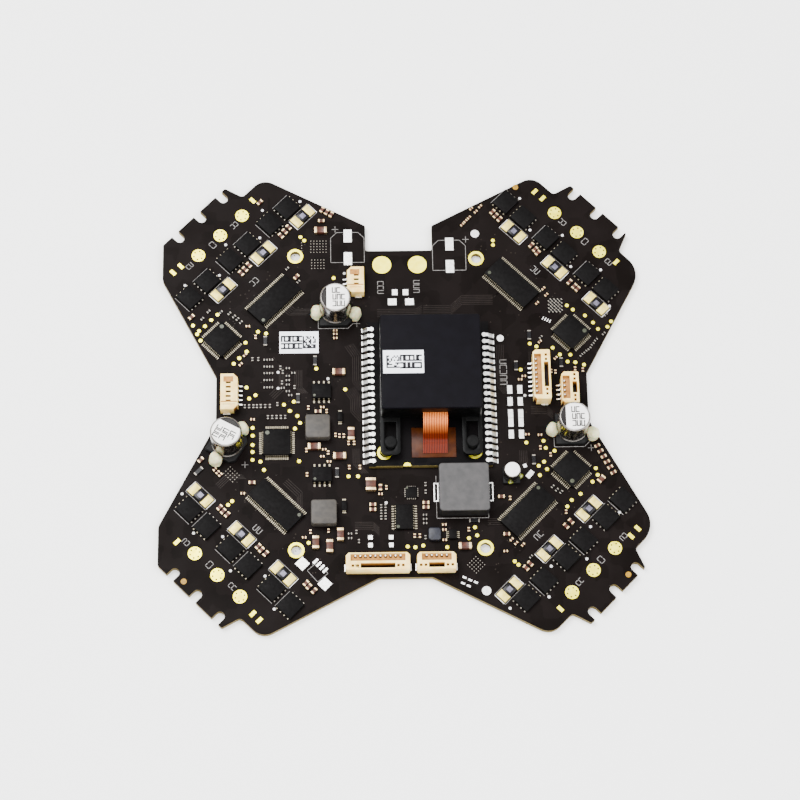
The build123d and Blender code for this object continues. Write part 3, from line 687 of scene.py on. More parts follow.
# Small ceramic capacitors, then resistors and arrays: x, y and turn of the long side.
CAPS_0603 = [
    (-31, 45.8, 135), (-30, 47, 135), (-29, 48.2, 135), (-41.4, 35.2, 135), (-40.4, 36.3, 135),
    (-39.4, 37.5, 135), (24.8, 52.1, 45), (25.6, 51, 45), (26.6, 50, 45), (34.7, 42.4, 45),
    (35.7, 41.2, 45), (36.3, 40.2, 45), (44.3, 31.8, 45), (45.5, 30.6, 45), (46.3, 29.8, 45),
    (-46.5, -28.8, 45), (-45.6, -29.8, 45), (-44.6, -30.7, 45), (-36.8, -39.1, 45), (-36, -40, 45),
    (-34.9, -41, 45), (-24.9, -48.8, 45), (-24.2, -49.7, 45), (-22.9, -50.8, 45), (41.8, -33.6, 135),
    (40.5, -34.8, 135), (31.1, -44.5, 135), (30, -45.6, 135), (-36.6, 55.5, 45), (-20.2, 53.2, 60),
    (-19.0, 52.5, 60), (-17.8, 51.8, 60), (-20.4, 50.0, 0), (-27, 34, 45), (-54.2, 23, 45),
    (-38.4, -22.3, 0), (25.5, -36.7, 0), (5.4, -28.2, 0), (5.4, -29.4, 0), (-8, -28.5, 0), (-8, -29.8, 0),
    (-51.4, -16.1, 45), (-6, -24, 90), (-21.6, -3.4, 0), (24.5, -26.8, 0),
]
# The chain of capacitors along the edge by controller 4.
EDGE_CAPS = [(49.4 + 0.75 * k, -13.5 - 1.45 * k, 27) for k in range(6)]
CAPS_0402 = [
    (-17, 18.9, 0), (-17, 17.9, 0), (-17, 16.8, 0), (-24.1, -2.3, 90), (-20.5, -2.2, 0),
    (-19.4, -3.3, 90), (-17.2, -9.8, 90), (-16.2, -10, 90), (-15.1, -10, 90), (-13.9, -12, 90),
    (-12.5, -12, 90), (-24.6, -13.8, 90), (-20.1, -13.6, 0), (-19.1, -14.5, 90), (-20.6, -15.5, 0),
    (-18.9, -16.9, 0), (-13.8, -18.5, 90), (-11.1, -18.5, 90), (-23.7, -35.4, 90), (-19.2, -35.2, 90),
    (-25.3, -36.9, 0), (-40.7, -25.1, 0), (-47.8, -18.6, 45), (-47.1, -19.4, 45), (-46.4, -20.1, 45),
    (16.7, 48.6, 45), (17.6, 49.6, 45), (18.6, 50.6, 45), (19.2, 53.2, 45), (20.4, 52.3, 45),
    (21.6, 53.8, 45), (35.6, 26, 45), (38.1, 28.3, 45), (37.4, 30.1, 45), (26.7, -38.1, 45),
    (27.8, -39.1, 45), (29.5, -39.5, 45), (25.1, -41.1, 0), (34.9, -10.4, 0), (34.9, -13.8, 90),
    (37.4, -15.7, 90), (31.7, -10.2, 0), (26.7, -27.2, 90), (40.7, -31, 90), (2.4, -36.8, 90),
    (3.7, -36.8, 90), (9.9, -34, 0), (9.9, -35.3, 0), (9.9, -38, 0), (16, -35.3, 90), (-6, -25.7, 0),
    (-4.5, -24, 90), (30.4, 4.8, 0), (31.4, 5.7, 0), (38.5, 7, 90), (39.6, 6.8, 90), (44.7, 7.6, 90),
    (46.7, 7.3, 90), (39.8, 10.6, 45), (35.9, 15.2, 45), (-40.3, 12.3, 45), (-41.4, 9.8, 45),
    (-37.6, 17.3, 90), (-39.6, 20.3, 0), (-24.5, -20.3, 90), (-38.3, -5.3, 0),
]
RESISTORS_0402 = [
    (-29.3, 8.6, 0), (-29.3, 6.5, 0), (-29.3, 5.3, 0), (-29.3, 4.1, 0), (-29.3, 2.3, 0), (-28.7, 1.2, 0),
    (-31.2, 8.8, 90), (-30.6, 7.6, 90), (-27.9, 7.3, 0), (-30.8, 4.7, 90), (-30.6, 3.2, 0),
    (-27.6, 3.4, 90), (-38.4, 11.2, 90), (-36.9, 11.2, 90), (-40.3, -1.7, 90), (-39.2, -1.7, 90),
    (-38.1, -1.7, 90), (-37.2, -1.7, 90), (-36.2, -1.7, 90), (-35.1, -1.7, 90), (-33.9, -1.7, 90),
    (-32, -1.2, 90), (-34.4, -4.7, 90), (-33.3, -4.7, 90), (-32.2, -4.7, 90), (-31.1, -4.7, 90),
    (-30, -4.7, 90), (-29.4, 36.5, 45), (-26.5, 32.8, 45), (-46.6, 24.4, 45), (-44.4, 24, 45),
    (-43.2, 23.1, 45), (-42.3, 22.4, 45), (-41.4, 21.5, 45), (-51.4, 22.6, 45), (-49.8, 24.6, 45),
    (46.5, 11.4, 45), (47.6, 12.3, 45), (48.7, 13.2, 45), (49.6, 14.4, 45), (50.5, 15.6, 45),
    (52.6, 17.3, 45), (53.4, 22.6, 45), (37.6, -24.2, 45), (38.6, -25.1, 45), (39.7, -25.7, 45),
    (-13.8, -36, 0), (-13.8, -37.2, 0), (-12.2, -35.6, 90), (-11.6, -38, 90), (5.4, -23.2, 90),
    (5.4, -25.2, 90), (5.1, -31.3, 0), (5.1, -32.4, 0), (5.1, -33.5, 0), (5.1, -37.2, 90),
    (36.2, 16.5, 45), (31.4, -42.6, 45),
]
ARRAYS = [
    (-26.7, 0.3, 90), (-35.1, 16.2, 90), (-22.3, 10.6, 90), (29.5, 8.6, 90), (33.2, 17.1, 90),
    (41.2, 9.4, 90), (33.1, -17, 90), (-16.9, -19.9, 90), (17.5, -33, 0), (-51.9, -19, 45),
]
# Bundles of tracks under the mask: number of lines, step between them, corner points.
TRACES = [
    (5, (0.5, 0.2), [(-14.5, 14.5), (-12.6, 11.5), (-12.6, 4.5), (-11, 2.5)]),
    (6, (0.45, 0.25), [(-14.6, 2), (-13.2, -0.2), (-13.2, -3.5), (-11, -6)]),
    (4, (0.5, 0.0), [(-12.8, -13.5), (-12.8, -17.5), (-10.5, -20)]),
    (5, (0.4, 0.4), [(-33, 27.5), (-29, 23.5), (-24.5, 23.5)]),
    (4, (0.4, -0.4), [(-34, 1.5), (-31.5, 4), (-31.5, 10), (-33, 11.8)]),
    (5, (0.45, 0.0), [(24.6, 14.5), (24.6, 3), (26, 1.2)]),
    (4, (0.5, 0.0), [(33, 12.5), (33, 9.5), (31.5, 7.8)]),
    (6, (0.0, 0.5), [(6, 23.2), (13, 23.2), (16, 26), (24, 26)]),
    (5, (0.0, 0.5), [(-6, 22.8), (4, 22.8), (5.5, 23.8)]),
    (4, (0.5, 0.5), [(24.5, 28), (28, 31.5), (28, 33)]),
    (5, (-0.45, 0.0), [(31.4, -14.5), (31.4, -18), (29.5, -20)]),
    (5, (0.0, 0.5), [(33, -4.5), (37, -4.5), (38.4, -5.9)]),
    (4, (0.35, -0.35), [(-47.5, -22.5), (-45, -20), (-41, -20)]),
    (5, (0.0, -0.45), [(-12.5, -33), (-8, -33), (-6.5, -34.5)]),
    (4, (0.0, 0.5), [(21, -34), (25, -34), (27.5, -31.5)]),
    (5, (0.45, 0.0), [(-27.5, 8), (-27.5, 3.4), (-26, 1.8)]),
    (4, (0.4, 0.4), [(-30.5, -22.5), (-27, -26), (-27, -33)]),
]
# Grids of tiny bare pads: first corner, columns, rows, pitch, turn.
PAD_GRIDS = [
    (-23.2, 41.2, 6, 5, 0.8, 0), (-23.0, 36.6, 5, 4, 0.8, 0), (17.6, -46.6, 5, 5, 0.75, 45),
    (-25.6, 41.6, 1, 4, 0.8, 0), (-45.6, -19.6, 5, 4, 0.8, -45),
]
# A dense patch of tiny parts by controller 2, and the column of parts by controller 1.
DENSE_PATCH = [(38.9 + 0.95 * i, 23.8 + 1.0 * j, 45) for i in range(4) for j in range(4)]
PAIR_COLUMN = [(x, y, 0) for x in (-35.0, -33.6) for y in (11, 9.1, 7.3, 5.4, 3.4)]
FILTER_GRID = [(x, y, 90) for x in (-5.9, -4.8) for y in (-28.9, -30.4, -31.9)]

# Screened white dots beside the transistors.
DOTS = [
    (-26, 55.9), (-35.9, 53.4), (-36.6, 45.5), (-45.5, 43.6), (-47.1, 34.9), (-56, 32.1), (32.2, 56.2),
    (34.6, 47), (43.1, 45.4), (44.9, 36.4), (52.7, 35.4), (54.5, 25.1), (-56, -24.9), (-53, -35.3),
    (-45.7, -36.3), (-43.7, -45.2), (-35.1, -46.7), (-32.8, -55.2), (54.2, -31.2), (46.7, -34.9),
    (45.4, -43.3), (36.4, -45.1), (35.5, -53), (25.7, -55.8), (-4.6, -27.9), (-14.5, 35.1), (-31.8, 7.6),
    (-31.8, 3.2), (31.5, 0.5), (-19, 5.7),
]
# The large cans: x, y and the side of the dark segment, which starts this far off the middle.
CAN_SEGMENT = 2.2
CANS = {"1": (-16.9, 24.1, 180), "2": (43.0, -9.05, 180), "3": (-44.6, -12.0, 61)}
TOP_CONNECTORS = ("connector_10_pin", "connector_5_pin", "connector_8_pin", "connector_4_pin")
SIDE_CONNECTORS = ("side_connector_5_pin", "side_connector_3_pin")


# ======================================================================================
# Master pieces that are copied
# ======================================================================================
def chip_master(finish, share, ends="chip end"):
    """A unit chip part: body between two plated ends, long side along X, foot at z 0."""
    chip = add_box((1, 1, 1), (0, 0, 0.5))
    for side in (-1, 1):
        edit_faces(chip, everything)
        bpy.ops.mesh.bisect(plane_co=(side * (0.5 - share) * MM, 0, 0), plane_no=(1, 0, 0))
        leave_edit()
    edit_faces(chip, lambda centre, normal: abs(centre.x) > 0.5 - share)
    bpy.ops.mesh.extrude_region_shrink_fatten(TRANSFORM_OT_shrink_fatten={"value": 0.0001 * MM})
    leave_edit()
    paint(chip, 1, lambda centre, normal: abs(centre.x) > 0.5 - share)
    return dress(chip, finish, ends)


def lead_master(reach, width, lift, thick=0.15):
    """One gull-wing lead: shoulder, slope and foot, leaving the body along +Y."""
    lead = add_box((width, 0.3, thick), (0, 0, lift))
    edit_faces(lead, lambda centre, normal: normal.y > 0.9)
    slope = (0, 0.25 * reach * MM, (thick / 2 + 0.02 - lift) * MM)
    bpy.ops.mesh.extrude_region_move(TRANSFORM_OT_translate={"value": slope})
    bpy.ops.mesh.extrude_region_move(TRANSFORM_OT_translate={"value": (0, 0.6 * reach * MM, 0)})
    leave_edit()
    paint(lead, 1, everything)
    return dress(lead, "mould", "lead", "dimple")


def package_master(size, pitch, counts, reach, marks, width=0.24):
    """A moulded package on z 0: body, leads on its Y sides and X sides, polished marks."""
    long_x, long_y, tall = size
    body = add_box((long_x, long_y, tall - 0.1), (0, 0, 0.1 + (tall - 0.1) / 2))
    dress(body, "mould", "lead", "dimple")
    edit_faces(body, lambda centre, normal: abs(normal.z) < 0.5)
    bpy.ops.mesh.subdivide(number_cuts=1)
    leave_edit()
    bevel(body, 0.14, 2)
    parts = [body]
    for per_side, half, turns in ((counts[0], long_y / 2, (0, 180)), (counts[1], long_x / 2, (90, 270))):
        if per_side:
            sites = []
            for turn in turns:
                for k in range(per_side):
                    shift = (k - (per_side - 1) / 2) * pitch
                    sites.append(place(*turned(0, 0, shift, half, turn), 0, turn))
            parts.append(spread(lead_master(reach, width, tall * 0.5), sites, "leads"))
    for x, y, radius in marks:
        dimple = add_disc(radius, 0.02, (x, y, tall - 0.005), 20)
        paint(dimple, 2, everything)
        parts.append(dress(dimple, "mould", "lead", "dimple"))
    return join(parts, "package")


def transistor_master():
    """A power transistor: moulded body with four tabs at each Y end."""
    body = dress(add_box((4.85, 5.25, 0.95), (0, 0, 0.5)), "mould", "lead", "dim lead")
    bevel(body, 0.12, 2)
    parts = [body]
    # Tabs at the -Y end take the darker tin: painted shade on that end.
    for side, index in ((1, 1), (-1, 2)):
        for x in (-1.9, -0.63, 0.63, 1.9):
            tab = add_box((0.42, 0.4, 0.25), (x, side * 2.78, 0.14))
            bevel(tab, 0.06, 1)
            paint(tab, index, everything)
            parts.append(dress(tab, "mould", "lead", "dim lead"))
    return join(parts, "transistor")


def shunt_master():
    """A current shunt: two formed caps and a raised alloy bridge with a bare patch."""
    parts = []
    for side in (-1, 1):
        cap = add_box((1.95, 2.95, 0.5), (side * 2.25, 0, 0.25))
        raise_top(cap, 0.2, 0.04)
        dress(cap, "cap", "resistor", "alloy")
        bevel(cap, 0.1, 2)
        parts.append(cap)
    bridge = add_box((2.7, 2.6, 0.6), (0, 0, 0.36))
    paint(bridge, 1, everything)
    dress(bridge, "cap", "resistor", "alloy")
    bevel(bridge, 0.12, 2)
    patch = add_box((1.3, 1.3, 0.03), (0, 0, 0.665))
    paint(patch, 2, everything)
    parts += [bridge, dress(patch, "cap", "resistor", "alloy")]
    return join(parts, "shunt")


def land_master(finish):
    """A unit solder land with a slightly domed, rounded top, foot at z 0."""
    land = add_box((1, 1, 1), (0, 0, 0.5))
    raise_top(land, 0.12, 0.2)
    return dress(land, finish)


def spot_master(finish, sides=16):
    """A unit round land, 1 mm across and 1 mm tall, its rim rolled over at the top."""
    spot = add_disc(0.5, 1, (0, 0, 0), sides)
    raise_top(spot, 0.08, 0.3)
    return dress(spot, finish)


def glyph_row(x, y, count, height, turn=0.0, seed=1):
    """Open-sided squares in a row, the generic marks that stand where lettering would be."""
    pick = random.Random(seed)
    half_w = height * 0.28
    half_h = height / 2
    corners = [(-half_w, -half_h), (half_w, -half_h), (half_w, half_h), (-half_w, half_h)]
    found = []
    for k in range(count):
        centre = (k - (count - 1) / 2) * height * 0.85
        gone = pick.randrange(4)
        for side in range(4):
            if side != gone:
                (ax, ay), (bx, by) = corners[side], corners[(side + 1) % 4]
                start = turned(x, y, ax + centre, ay, turn)
                found.append((*start, *turned(x, y, bx + centre, by, turn)))
    return found


def code_square(x, y, size, cells, seed):
    """Cells of a meaningless square pattern, as the middles of the filled ones."""
    pick = random.Random(seed)
    step = size / cells
    filled = []
    for i in range(cells):
        for j in range(cells):
            if i == 0 or j == 0 or pick.random() < 0.5:
                filled.append((x + (i - (cells - 1) / 2) * step, y + (j - (cells - 1) / 2) * step))
    return filled, step


# ======================================================================================
# Operators
# ======================================================================================
class BOARD_OT_stage(bpy.types.Operator):
    """Pale floor, soft lights and the camera"""

    bl_idname = "board.stage"
    bl_label = "Stage"

    def execute(self, context):
        low, high = CAD_BOX
        bpy.ops.object.select_all(action="DESELECT")
        bpy.ops.mesh.primitive_plane_add(size=3.0, location=(0, 0, low.z - 0.0001))
        floor = bpy.context.object
        floor.name = "floor"
        material, tree, shader, coordinates = new_material("Pale floor", {"Roughness": 0.9})
        tree.links.new(mottle(tree, coordinates, 400, "#f8f8f6", "#fbfbfa"), shader.inputs["Base Color"])
        floor.data.materials.append(material)

        sizes = context.scene.board_sizes
        for name, place_at, width, power in (
            ("key softbox", (-0.35, 0.25, 0.75), 0.5, sizes.key_power),
            ("fill softbox", (0.55, -0.1, 0.7), 0.6, sizes.key_power * 0.55),
            ("front softbox", (-0.1, -0.6, 0.6), 0.5, sizes.key_power * 0.4),
        ):
            bpy.ops.object.light_add(type="AREA", location=place_at)
            lamp = bpy.context.object
            lamp.name = name
            lamp.data.size = width
            lamp.data.energy = power
            lamp.rotation_euler = (-Vector(place_at)).to_track_quat("-Z", "Y").to_euler()
        world = bpy.data.worlds.new("Soft daylight")
        world.use_nodes = True
        world.node_tree.nodes["Background"].inputs["Color"].default_value = linear("#f7f8fa")
        world.node_tree.nodes["Background"].inputs["Strength"].default_value = sizes.sky_strength
        context.scene.world = world

        bpy.ops.object.camera_add(
            location=(-0.015139, -0.205335, 0.557083),
            rotation=(radians(20.273), radians(-1.098), radians(-1.0895)),
        )
        camera = bpy.context.object
        camera.data.lens = 103.99
        camera.data.sensor_width = 36
        camera.data.clip_start = 0.01
        context.scene.camera = camera
        return {"FINISHED"}


class BOARD_OT_finishes(bpy.types.Operator):
    """All materials of the board"""

    bl_idname = "board.finishes"
    bl_label = "Finishes"

    def execute(self, context):
        make_materials()
        return {"FINISHED"}


class BOARD_OT_bare_board(bpy.types.Operator):
    """Masked board with its gold pads, rings, test points and bare lands"""

    bl_idname = "board.bare_board"
    bl_label = "Bare board"

    def execute(self, context):
        recolour("mask", "main_board")
        recolour("gold", "mounting_rings", "solder_pads")
        dot = context.scene.board_sizes.test_point / MM
        lay(spot_master("gold"), on_board(TEST_POINTS, (dot, dot, LAND_T)), "test_points")
        lay(land_master("gold"), on_board(SENSE_PADS, (0.95, 1.75, LAND_T)), "sense_pads")
        lay(spot_master("laminate"), on_board(TOOLING_SPOTS, (1.5, 1.5, LAND_T)), "tooling_spots")
        marks = [place(x, y, TOP, 0, (2 * r, 2 * r, LAND_T)) for x, y, r in FIDUCIALS]
        lay(spot_master("tin", 24), marks, "fiducials")
        lands = [place(x, y, TOP, 0, (w, h, LAND_T)) for x, y, w, h in BARE_LANDS]
        lands += [place(x, y, TOP, turn, (w, h, LAND_T)) for x, y, w, h, turn in TURNED_LANDS]
        for y in LAND_ROWS_Y:
            lands += [place(x, y - 1.2, TOP, 0, (1.25, 2.3, LAND_T)) for x in (27.65, 30.25)]
        lay(land_master("tin"), lands, "bare_lands")

        # Vias: a loose band across each arm, and the rest strewn over the middle.
        vias = []
        pick = random.Random(4)
        for arm in ARMS.values():
            for across in (-15, -7.6, 0, 7.4, 15):
                for k in range(5):
                    x, y = on_arm(arm, across + pick.uniform(-2, 2), 47.5 + pick.uniform(-3, 3))
                    vias.append(place(x, y, TOP, 0, (0.32, 0.32, INK_T)))
        for k in range(150):
            x, y = pick.uniform(-46, 46), pick.uniform(-36, 30)
            vias.append(place(x, y, TOP, 0, (0.3, 0.3, INK_T)))
        lay(spot_master("via", 8), vias, "vias")
        grid = []
        for x, y, columns, rows, pitch, turn in PAD_GRIDS:
            for i in range(columns):
                for j in range(rows):
                    spot = turned(x, y, i * pitch, j * pitch, turn)
                    grid.append(place(*spot, TOP, turn, (0.2, 0.2, INK_T)))
        # The tiny pads take the darker tin of painted shade.
        lay(land_master("dim lead"), grid, "pad_grids")
        lines = []
        for count, (step_x, step_y), path in TRACES:
            for k in range(count):
                lines += polyline([(x + k * step_x, y + k * step_y) for x, y in path])
        hand_over(strokes(lines, 0.16, TOP - 0.008, "masked_tracks", "trace"), "board")

        # Six barrels in a ring on each wire pad: black discs, painted shade inside each open barrel.
        barrels = []
        for arm in ARMS.values():
            for across in (-7.5, 0.5, 8.5):
                x, y = on_arm(arm, -across, 65.9)
                barrels += [
                    place(x + 1.2 * cos(k), y + 1.2 * sin(k), PAD_TOP, 0, (0.42, 0.42, INK_T))
                    for k in (0.3, 1.3, 2.4, 3.4, 4.5, 5.5)
                ]
        lay(spot_master("base", 8), barrels, "pad_vias")
        return {"FINISHED"}


class BOARD_OT_legend(bpy.types.Operator):
    """Screened outlines, dots and generic marks"""

    bl_idname = "board.legend"
    bl_label = "Legend"

    def execute(self, context):
        width = context.scene.board_sizes.legend_line / MM
        lines = []
        # Outlines of the two large capacitors that are left off, with chamfered rear corners.
        for x0, x1, y0, y1 in ((-18, -9.2, 38.2, 46.8), (8.7, 17.4, 35.7, 44.3)):
            rear = [(x1, y1 - 1.6), (x1 - 1.6, y1), (x0 + 1.6, y1), (x0, y1 - 1.6)]
            lines += polyline([(x0, y0), (x1, y0), *rear, (x0, y0)])
        # Boxes round the large capacitors.
        for x, y, turn in CANS.values():
            if turn == 180:
                path = [(x - 4.5, y + 0.5), (x - 4.5, y - 4.5), (x + 3.2, y - 4.5), (x + 4.5, y - 3.2)]
                lines += polyline(path)
        lines += polyline([(8.1, -21.0), (8.1, -32.2), (21.2, -32.2), (21.2, -30.5)])
        # A line beside each transistor and a frame round each shunt.
        bars = []
        for arm in ARMS.values():
            for centre in phase_centres(arm):
                flat = centre - PAIR_SHIFT * arm["pair"] - LINE_SHIFT * arm["line"]
                across = centre + PAIR_SHIFT * arm["pair"]
                shunt = centre + arm["shunt"]
                rear = TRANSISTOR_ROW + LINE_SHIFT * arm["line"]
                for group, (a, b), (c, d) in (
                    (lines, (flat, 56.3), (flat, 61.5)),
                    (lines, (across - 2.6, rear), (across + 2.6, rear)),
                    (lines, (shunt - 3.5, 56.1), (shunt + 3.5, 56.1)),
                    (lines, (shunt - 3.5, 52.5), (shunt + 3.5, 52.5)),
                    (bars, (shunt - 3.55, 52.7), (shunt - 3.55, 55.7)),
                    (bars, (shunt + 3.55, 52.7), (shunt + 3.55, 55.7)),
                ):
                    group.append((*on_arm(arm, a, b), *on_arm(arm, c, d)))
        # Polarity signs by the large capacitors.
        for x, y in ((17.5, 44.5), (-16.8, 47.7), (-11.4, 20.9), (47.9, -13.9), (-40.2, -17.4)):
            lines += [(x - 0.8, y, x + 0.8, y), (x, y - 0.8, x, y + 0.8)]
        # Box of the part left off between its lands on arm 3.
        box = [(-24.6, -45.4), (-22.0, -43.2), (-19.4, -46.2), (-22.0, -48.4), (-24.6, -45.4)]
        lines += polyline(box)
        marks = []
        for x, y, count, height, turn, seed in (
            (-5.1, 31, 3, 1.5, -90, 3), (4.3, 31.2, 3, 1.5, -90, 5), (26.2, 7, 5, 1.7, -90, 7),
            (-38, 33, 2, 1.5, 45, 11), (35.5, 35.5, 2, 1.5, -45, 12), (-37, -34.5, 2, 1.5, -45, 13),
            (33.5, -37, 2, 1.5, 45, 14),
        ):
            marks += glyph_row(x, y, count, height, turn, seed)
        for arm in ARMS.values():
            for index, across in enumerate((-12.2, -3.8, 4.2)):
                x, y = on_arm(arm, across, 65.4)
                marks += glyph_row(x, y, 2, 1.25, arm_turn(arm) + 90 * index, 20 + index)
        bars_piece = strokes(bars, 0.2, TOP, "legend_bars", "legend bright")
        outlines = strokes(lines, width, TOP, "legend_outlines")
        letters = strokes(marks, 0.16, TOP, "legend_marks")

        dots = [place(x, y, TOP, 0, (0.75, 0.75, INK_T)) for x, y in DOTS]
        dots_piece = spread(spot_master("legend bright", 12), dots, "legend_dots")
        for piece in (outlines, bars_piece, letters, dots_piece):
            hand_over(piece, "board")
        return {"FINISHED"}


class BOARD_OT_packages(bpy.types.Operator):
    """Moulded driver, controller, regulator and interface packages with their leads"""

    bl_idname = "board.packages"
    bl_label = "Packages"

    def execute(self, context):
        driver = package_master((14, 6.1, 1.2), 0.5, (28, 0), 1.0, [(-6.1, -2.1, 0.45)], 0.22)
        for name, arm in ARMS.items():
            piece = copy_at(driver, arm_place(arm, *arm["driver"]), f"gate_driver_{name}_package")
            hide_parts(f"gate_driver_{name}")
            hand_over(piece, "board")
        bpy.data.objects.remove(driver)

        controller = package_master((7, 7, 1.5), 0.5, (12, 12), 1.0, [(-2.4, 2.4, 0.55)], 0.22)
        for name, (x, y, turn) in CONTROLLERS.items():
            piece = copy_at(controller, place(x, y, TOP, turn), f"motor_controller_{name}_package")
            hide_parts(f"motor_controller_{name}")
            hand_over(piece, "board")
        bpy.data.objects.remove(controller)

        regulator = package_master((4.9, 3.9, 1.5), 1.27, (4, 0), 1.05, [(-1.8, -1.3, 0.35)], 0.42)
        places = [place(-20.7, 2.0, TOP), place(-20.7, -20.5, TOP)]
        piece = spread(regulator, places, "regulator_packages")
        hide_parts("regulator_ics")
        hand_over(piece, "board")

        interface = package_master((6.5, 4.4, 1.0), 0.65, (10, 0), 1.0, [(-2.6, 1.6, 0.4)], 0.26)
        interface = copy_and_drop(interface, place(-0.1, -31.9, TOP, 90), "interface_long")
        flat = package_master((3, 3, 0.85), 0.5, (5, 5), 0.12, [(-1.1, 1.1, 0.25)], 0.26)
        flat = copy_and_drop(flat, place(1.8, -25.4, TOP), "interface_flat")
        # Its short leads take the darker tin, painted shade under the body's edge.
        dress(flat, "mould", "dim lead", "dimple")
        piece = join([interface, flat], "interface_packages")
        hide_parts("interface_ics")
        hand_over(piece, "board")

        gate = package_master((2.4, 2.0, 0.9), 0.5, (4, 0), 0.6, [], 0.2)
        gate = copy_and_drop(gate, place(12.0, -36.6, TOP, 90), "logic_gate_package")
        hand_over(gate, "board")

        diode = package_master((2.6, 1.3, 1.0), 1.0, (0, 1), 0.5, [], 0.9)
        piece = spread(diode, [place(-16, -4.9, TOP, 90), place(-15.2, -28.7, TOP, 90)], "diode_packages")
        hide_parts("rectifier_diodes")
        hand_over(piece, "board")

        processor = package_master((10, 10, 0.85), 0.8, (0, 0), 0.5, [(-4, 4, 0.4)])
        piece = copy_and_drop(processor, place(7.3, 6.0, MODULE_TOP), "processor_package")
        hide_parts("module_processor")
        hand_over(piece, "board")
        return {"FINISHED"}


class BOARD_OT_power_stage(bpy.types.Operator):
    """Power transistors and current shunts of the four motor channels"""

    bl_idname = "board.power_stage"
    bl_label = "Power stage"

    def execute(self, context):
        for name, arm in ARMS.items():
            centres = phase_centres(arm)
            side = PAIR_SHIFT * arm["pair"]
            turn = 90 - 90 * arm["line"]
            places = [arm_place(arm, c - side, TRANSISTOR_ROW, TOP, turn) for c in centres]
            places += [arm_place(arm, c + side, TRANSISTOR_ROW, TOP, turn - 90) for c in centres]
            piece = spread(transistor_master(), places, f"transistors_{name}")
            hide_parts(f"mosfets_{name}")
            hand_over(piece, "board")
            places = [arm_place(arm, c + arm["shunt"], SHUNT_ROW) for c in centres]
            piece = spread(shunt_master(), places, f"shunt_set_{name}")
            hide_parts(f"shunts_{name}")
            hand_over(piece, "board")
        return {"FINISHED"}


class BOARD_OT_capacitors(bpy.types.Operator):
    """Electrolytic capacitors, their bases and the beads of glue that hold them"""

    bl_idname = "board.capacitors"
    bl_label = "Electrolytic capacitors"

    def execute(self, context):
        for name, (x, y, side) in CANS.items():
            can = softened(f"capacitor_can_{name}", 0.35, None, 3)
            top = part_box(f"capacitor_can_{name}")[1].z / MM
            out = (cos(radians(side)), sin(radians(side)), 0)

            def crown(c, n):
                return n.z > 0.95 and c.z > top - 0.05

            def segment(c, n):
                return crown(c, n) and (c.x - x) * out[0] + (c.y - y) * out[1] > CAN_SEGMENT

            edit_faces(can, crown)
            bpy.ops.mesh.inset(thickness=0.12 * MM, depth=0)
            leave_edit()
            edit_faces(can, crown)
            cut = ((x + CAN_SEGMENT * out[0]) * MM, (y + CAN_SEGMENT * out[1]) * MM, top * MM)
            bpy.ops.mesh.bisect(plane_co=cut, plane_no=out)
            leave_edit()
            paint(can, 1, crown)
            paint(can, 2, segment)
            dress(can, "sleeve", "can white", "dark ink")
            rows = []
            for row, count in ((1.85, 2), (0, 3), (-1.85, 3)):
                right = -out[0] * 0.9 + out[1] * row
                up = -out[1] * 0.9 - out[0] * row
                shift = -0.7 if count == 2 else 0.0
                right -= shift * out[0]
                up -= shift * out[1]
                rows += glyph_row(x + right, y + up, count, 1.3, side - 180, 30 + int(row * 10))
            ink = strokes(rows, 0.27, top, "ink", "can ink")
            can = join([can, ink], f"capacitor_can_{name}_body")
            hand_over(can, "board")
            base = softened(f"capacitor_base_{name}", 0.2)
            dress(base, "base")
            hand_over(base, "board")
        small = softened("small_capacitor_can", 0.15)
        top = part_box("small_capacitor_can")[1].z / MM
        paint(small, 1, lambda c, n: n.z > 0.9 and c.z > top - 0.1)
        dress(small, "sleeve", "can white")
        hand_over(small, "board")
        base = softened("small_capacitor_base", 0.2)
        dress(base, "base")
        hand_over(base, "board")

        glue = softened("glue_beads", 0.6, "glue_beads_set", 3)
        modify(glue, "Rounder", "REMESH", mode="VOXEL", voxel_size=0.22 * MM)
        ripple = bpy.data.textures.new("Glue ripple", "CLOUDS")
        ripple.noise_scale = 2.0 * MM
        modify(
            glue, "Lumps", "DISPLACE", texture=ripple, texture_coords="GLOBAL", strength=0.7 * MM,
            mid_level=0.6,
        )
        modify(glue, "Calm", "SMOOTH", iterations=6)
        bpy.ops.object.shade_smooth()
        dress(glue, "glue")
        hand_over(glue, "board")

        drops = []
        for x, y, z, wide, tall in ((29.4, -21.4, TOP, 1.0, 0.55), (27.1, -22.9, TOP + 0.85, 0.9, 0.4)):
            bpy.ops.object.select_all(action="DESELECT")
            spot = (x * MM, y * MM, z * MM)
            bpy.ops.mesh.primitive_uv_sphere_add(segments=24, ring_count=12, location=spot)
            drop = bpy.context.object
            drop.scale = (wide * MM, wide * 0.7 * MM, tall * MM)
            drop.rotation_euler.z = radians(35)
            apply_all(drop)
            halve(drop, (0, 0, z * MM), (0, 0, 1))
            bpy.ops.object.shade_smooth()
            drops.append(dress(drop, "flux"))
        hand_over(join(drops, "flux_drops"), "board")
        return {"FINISHED"}


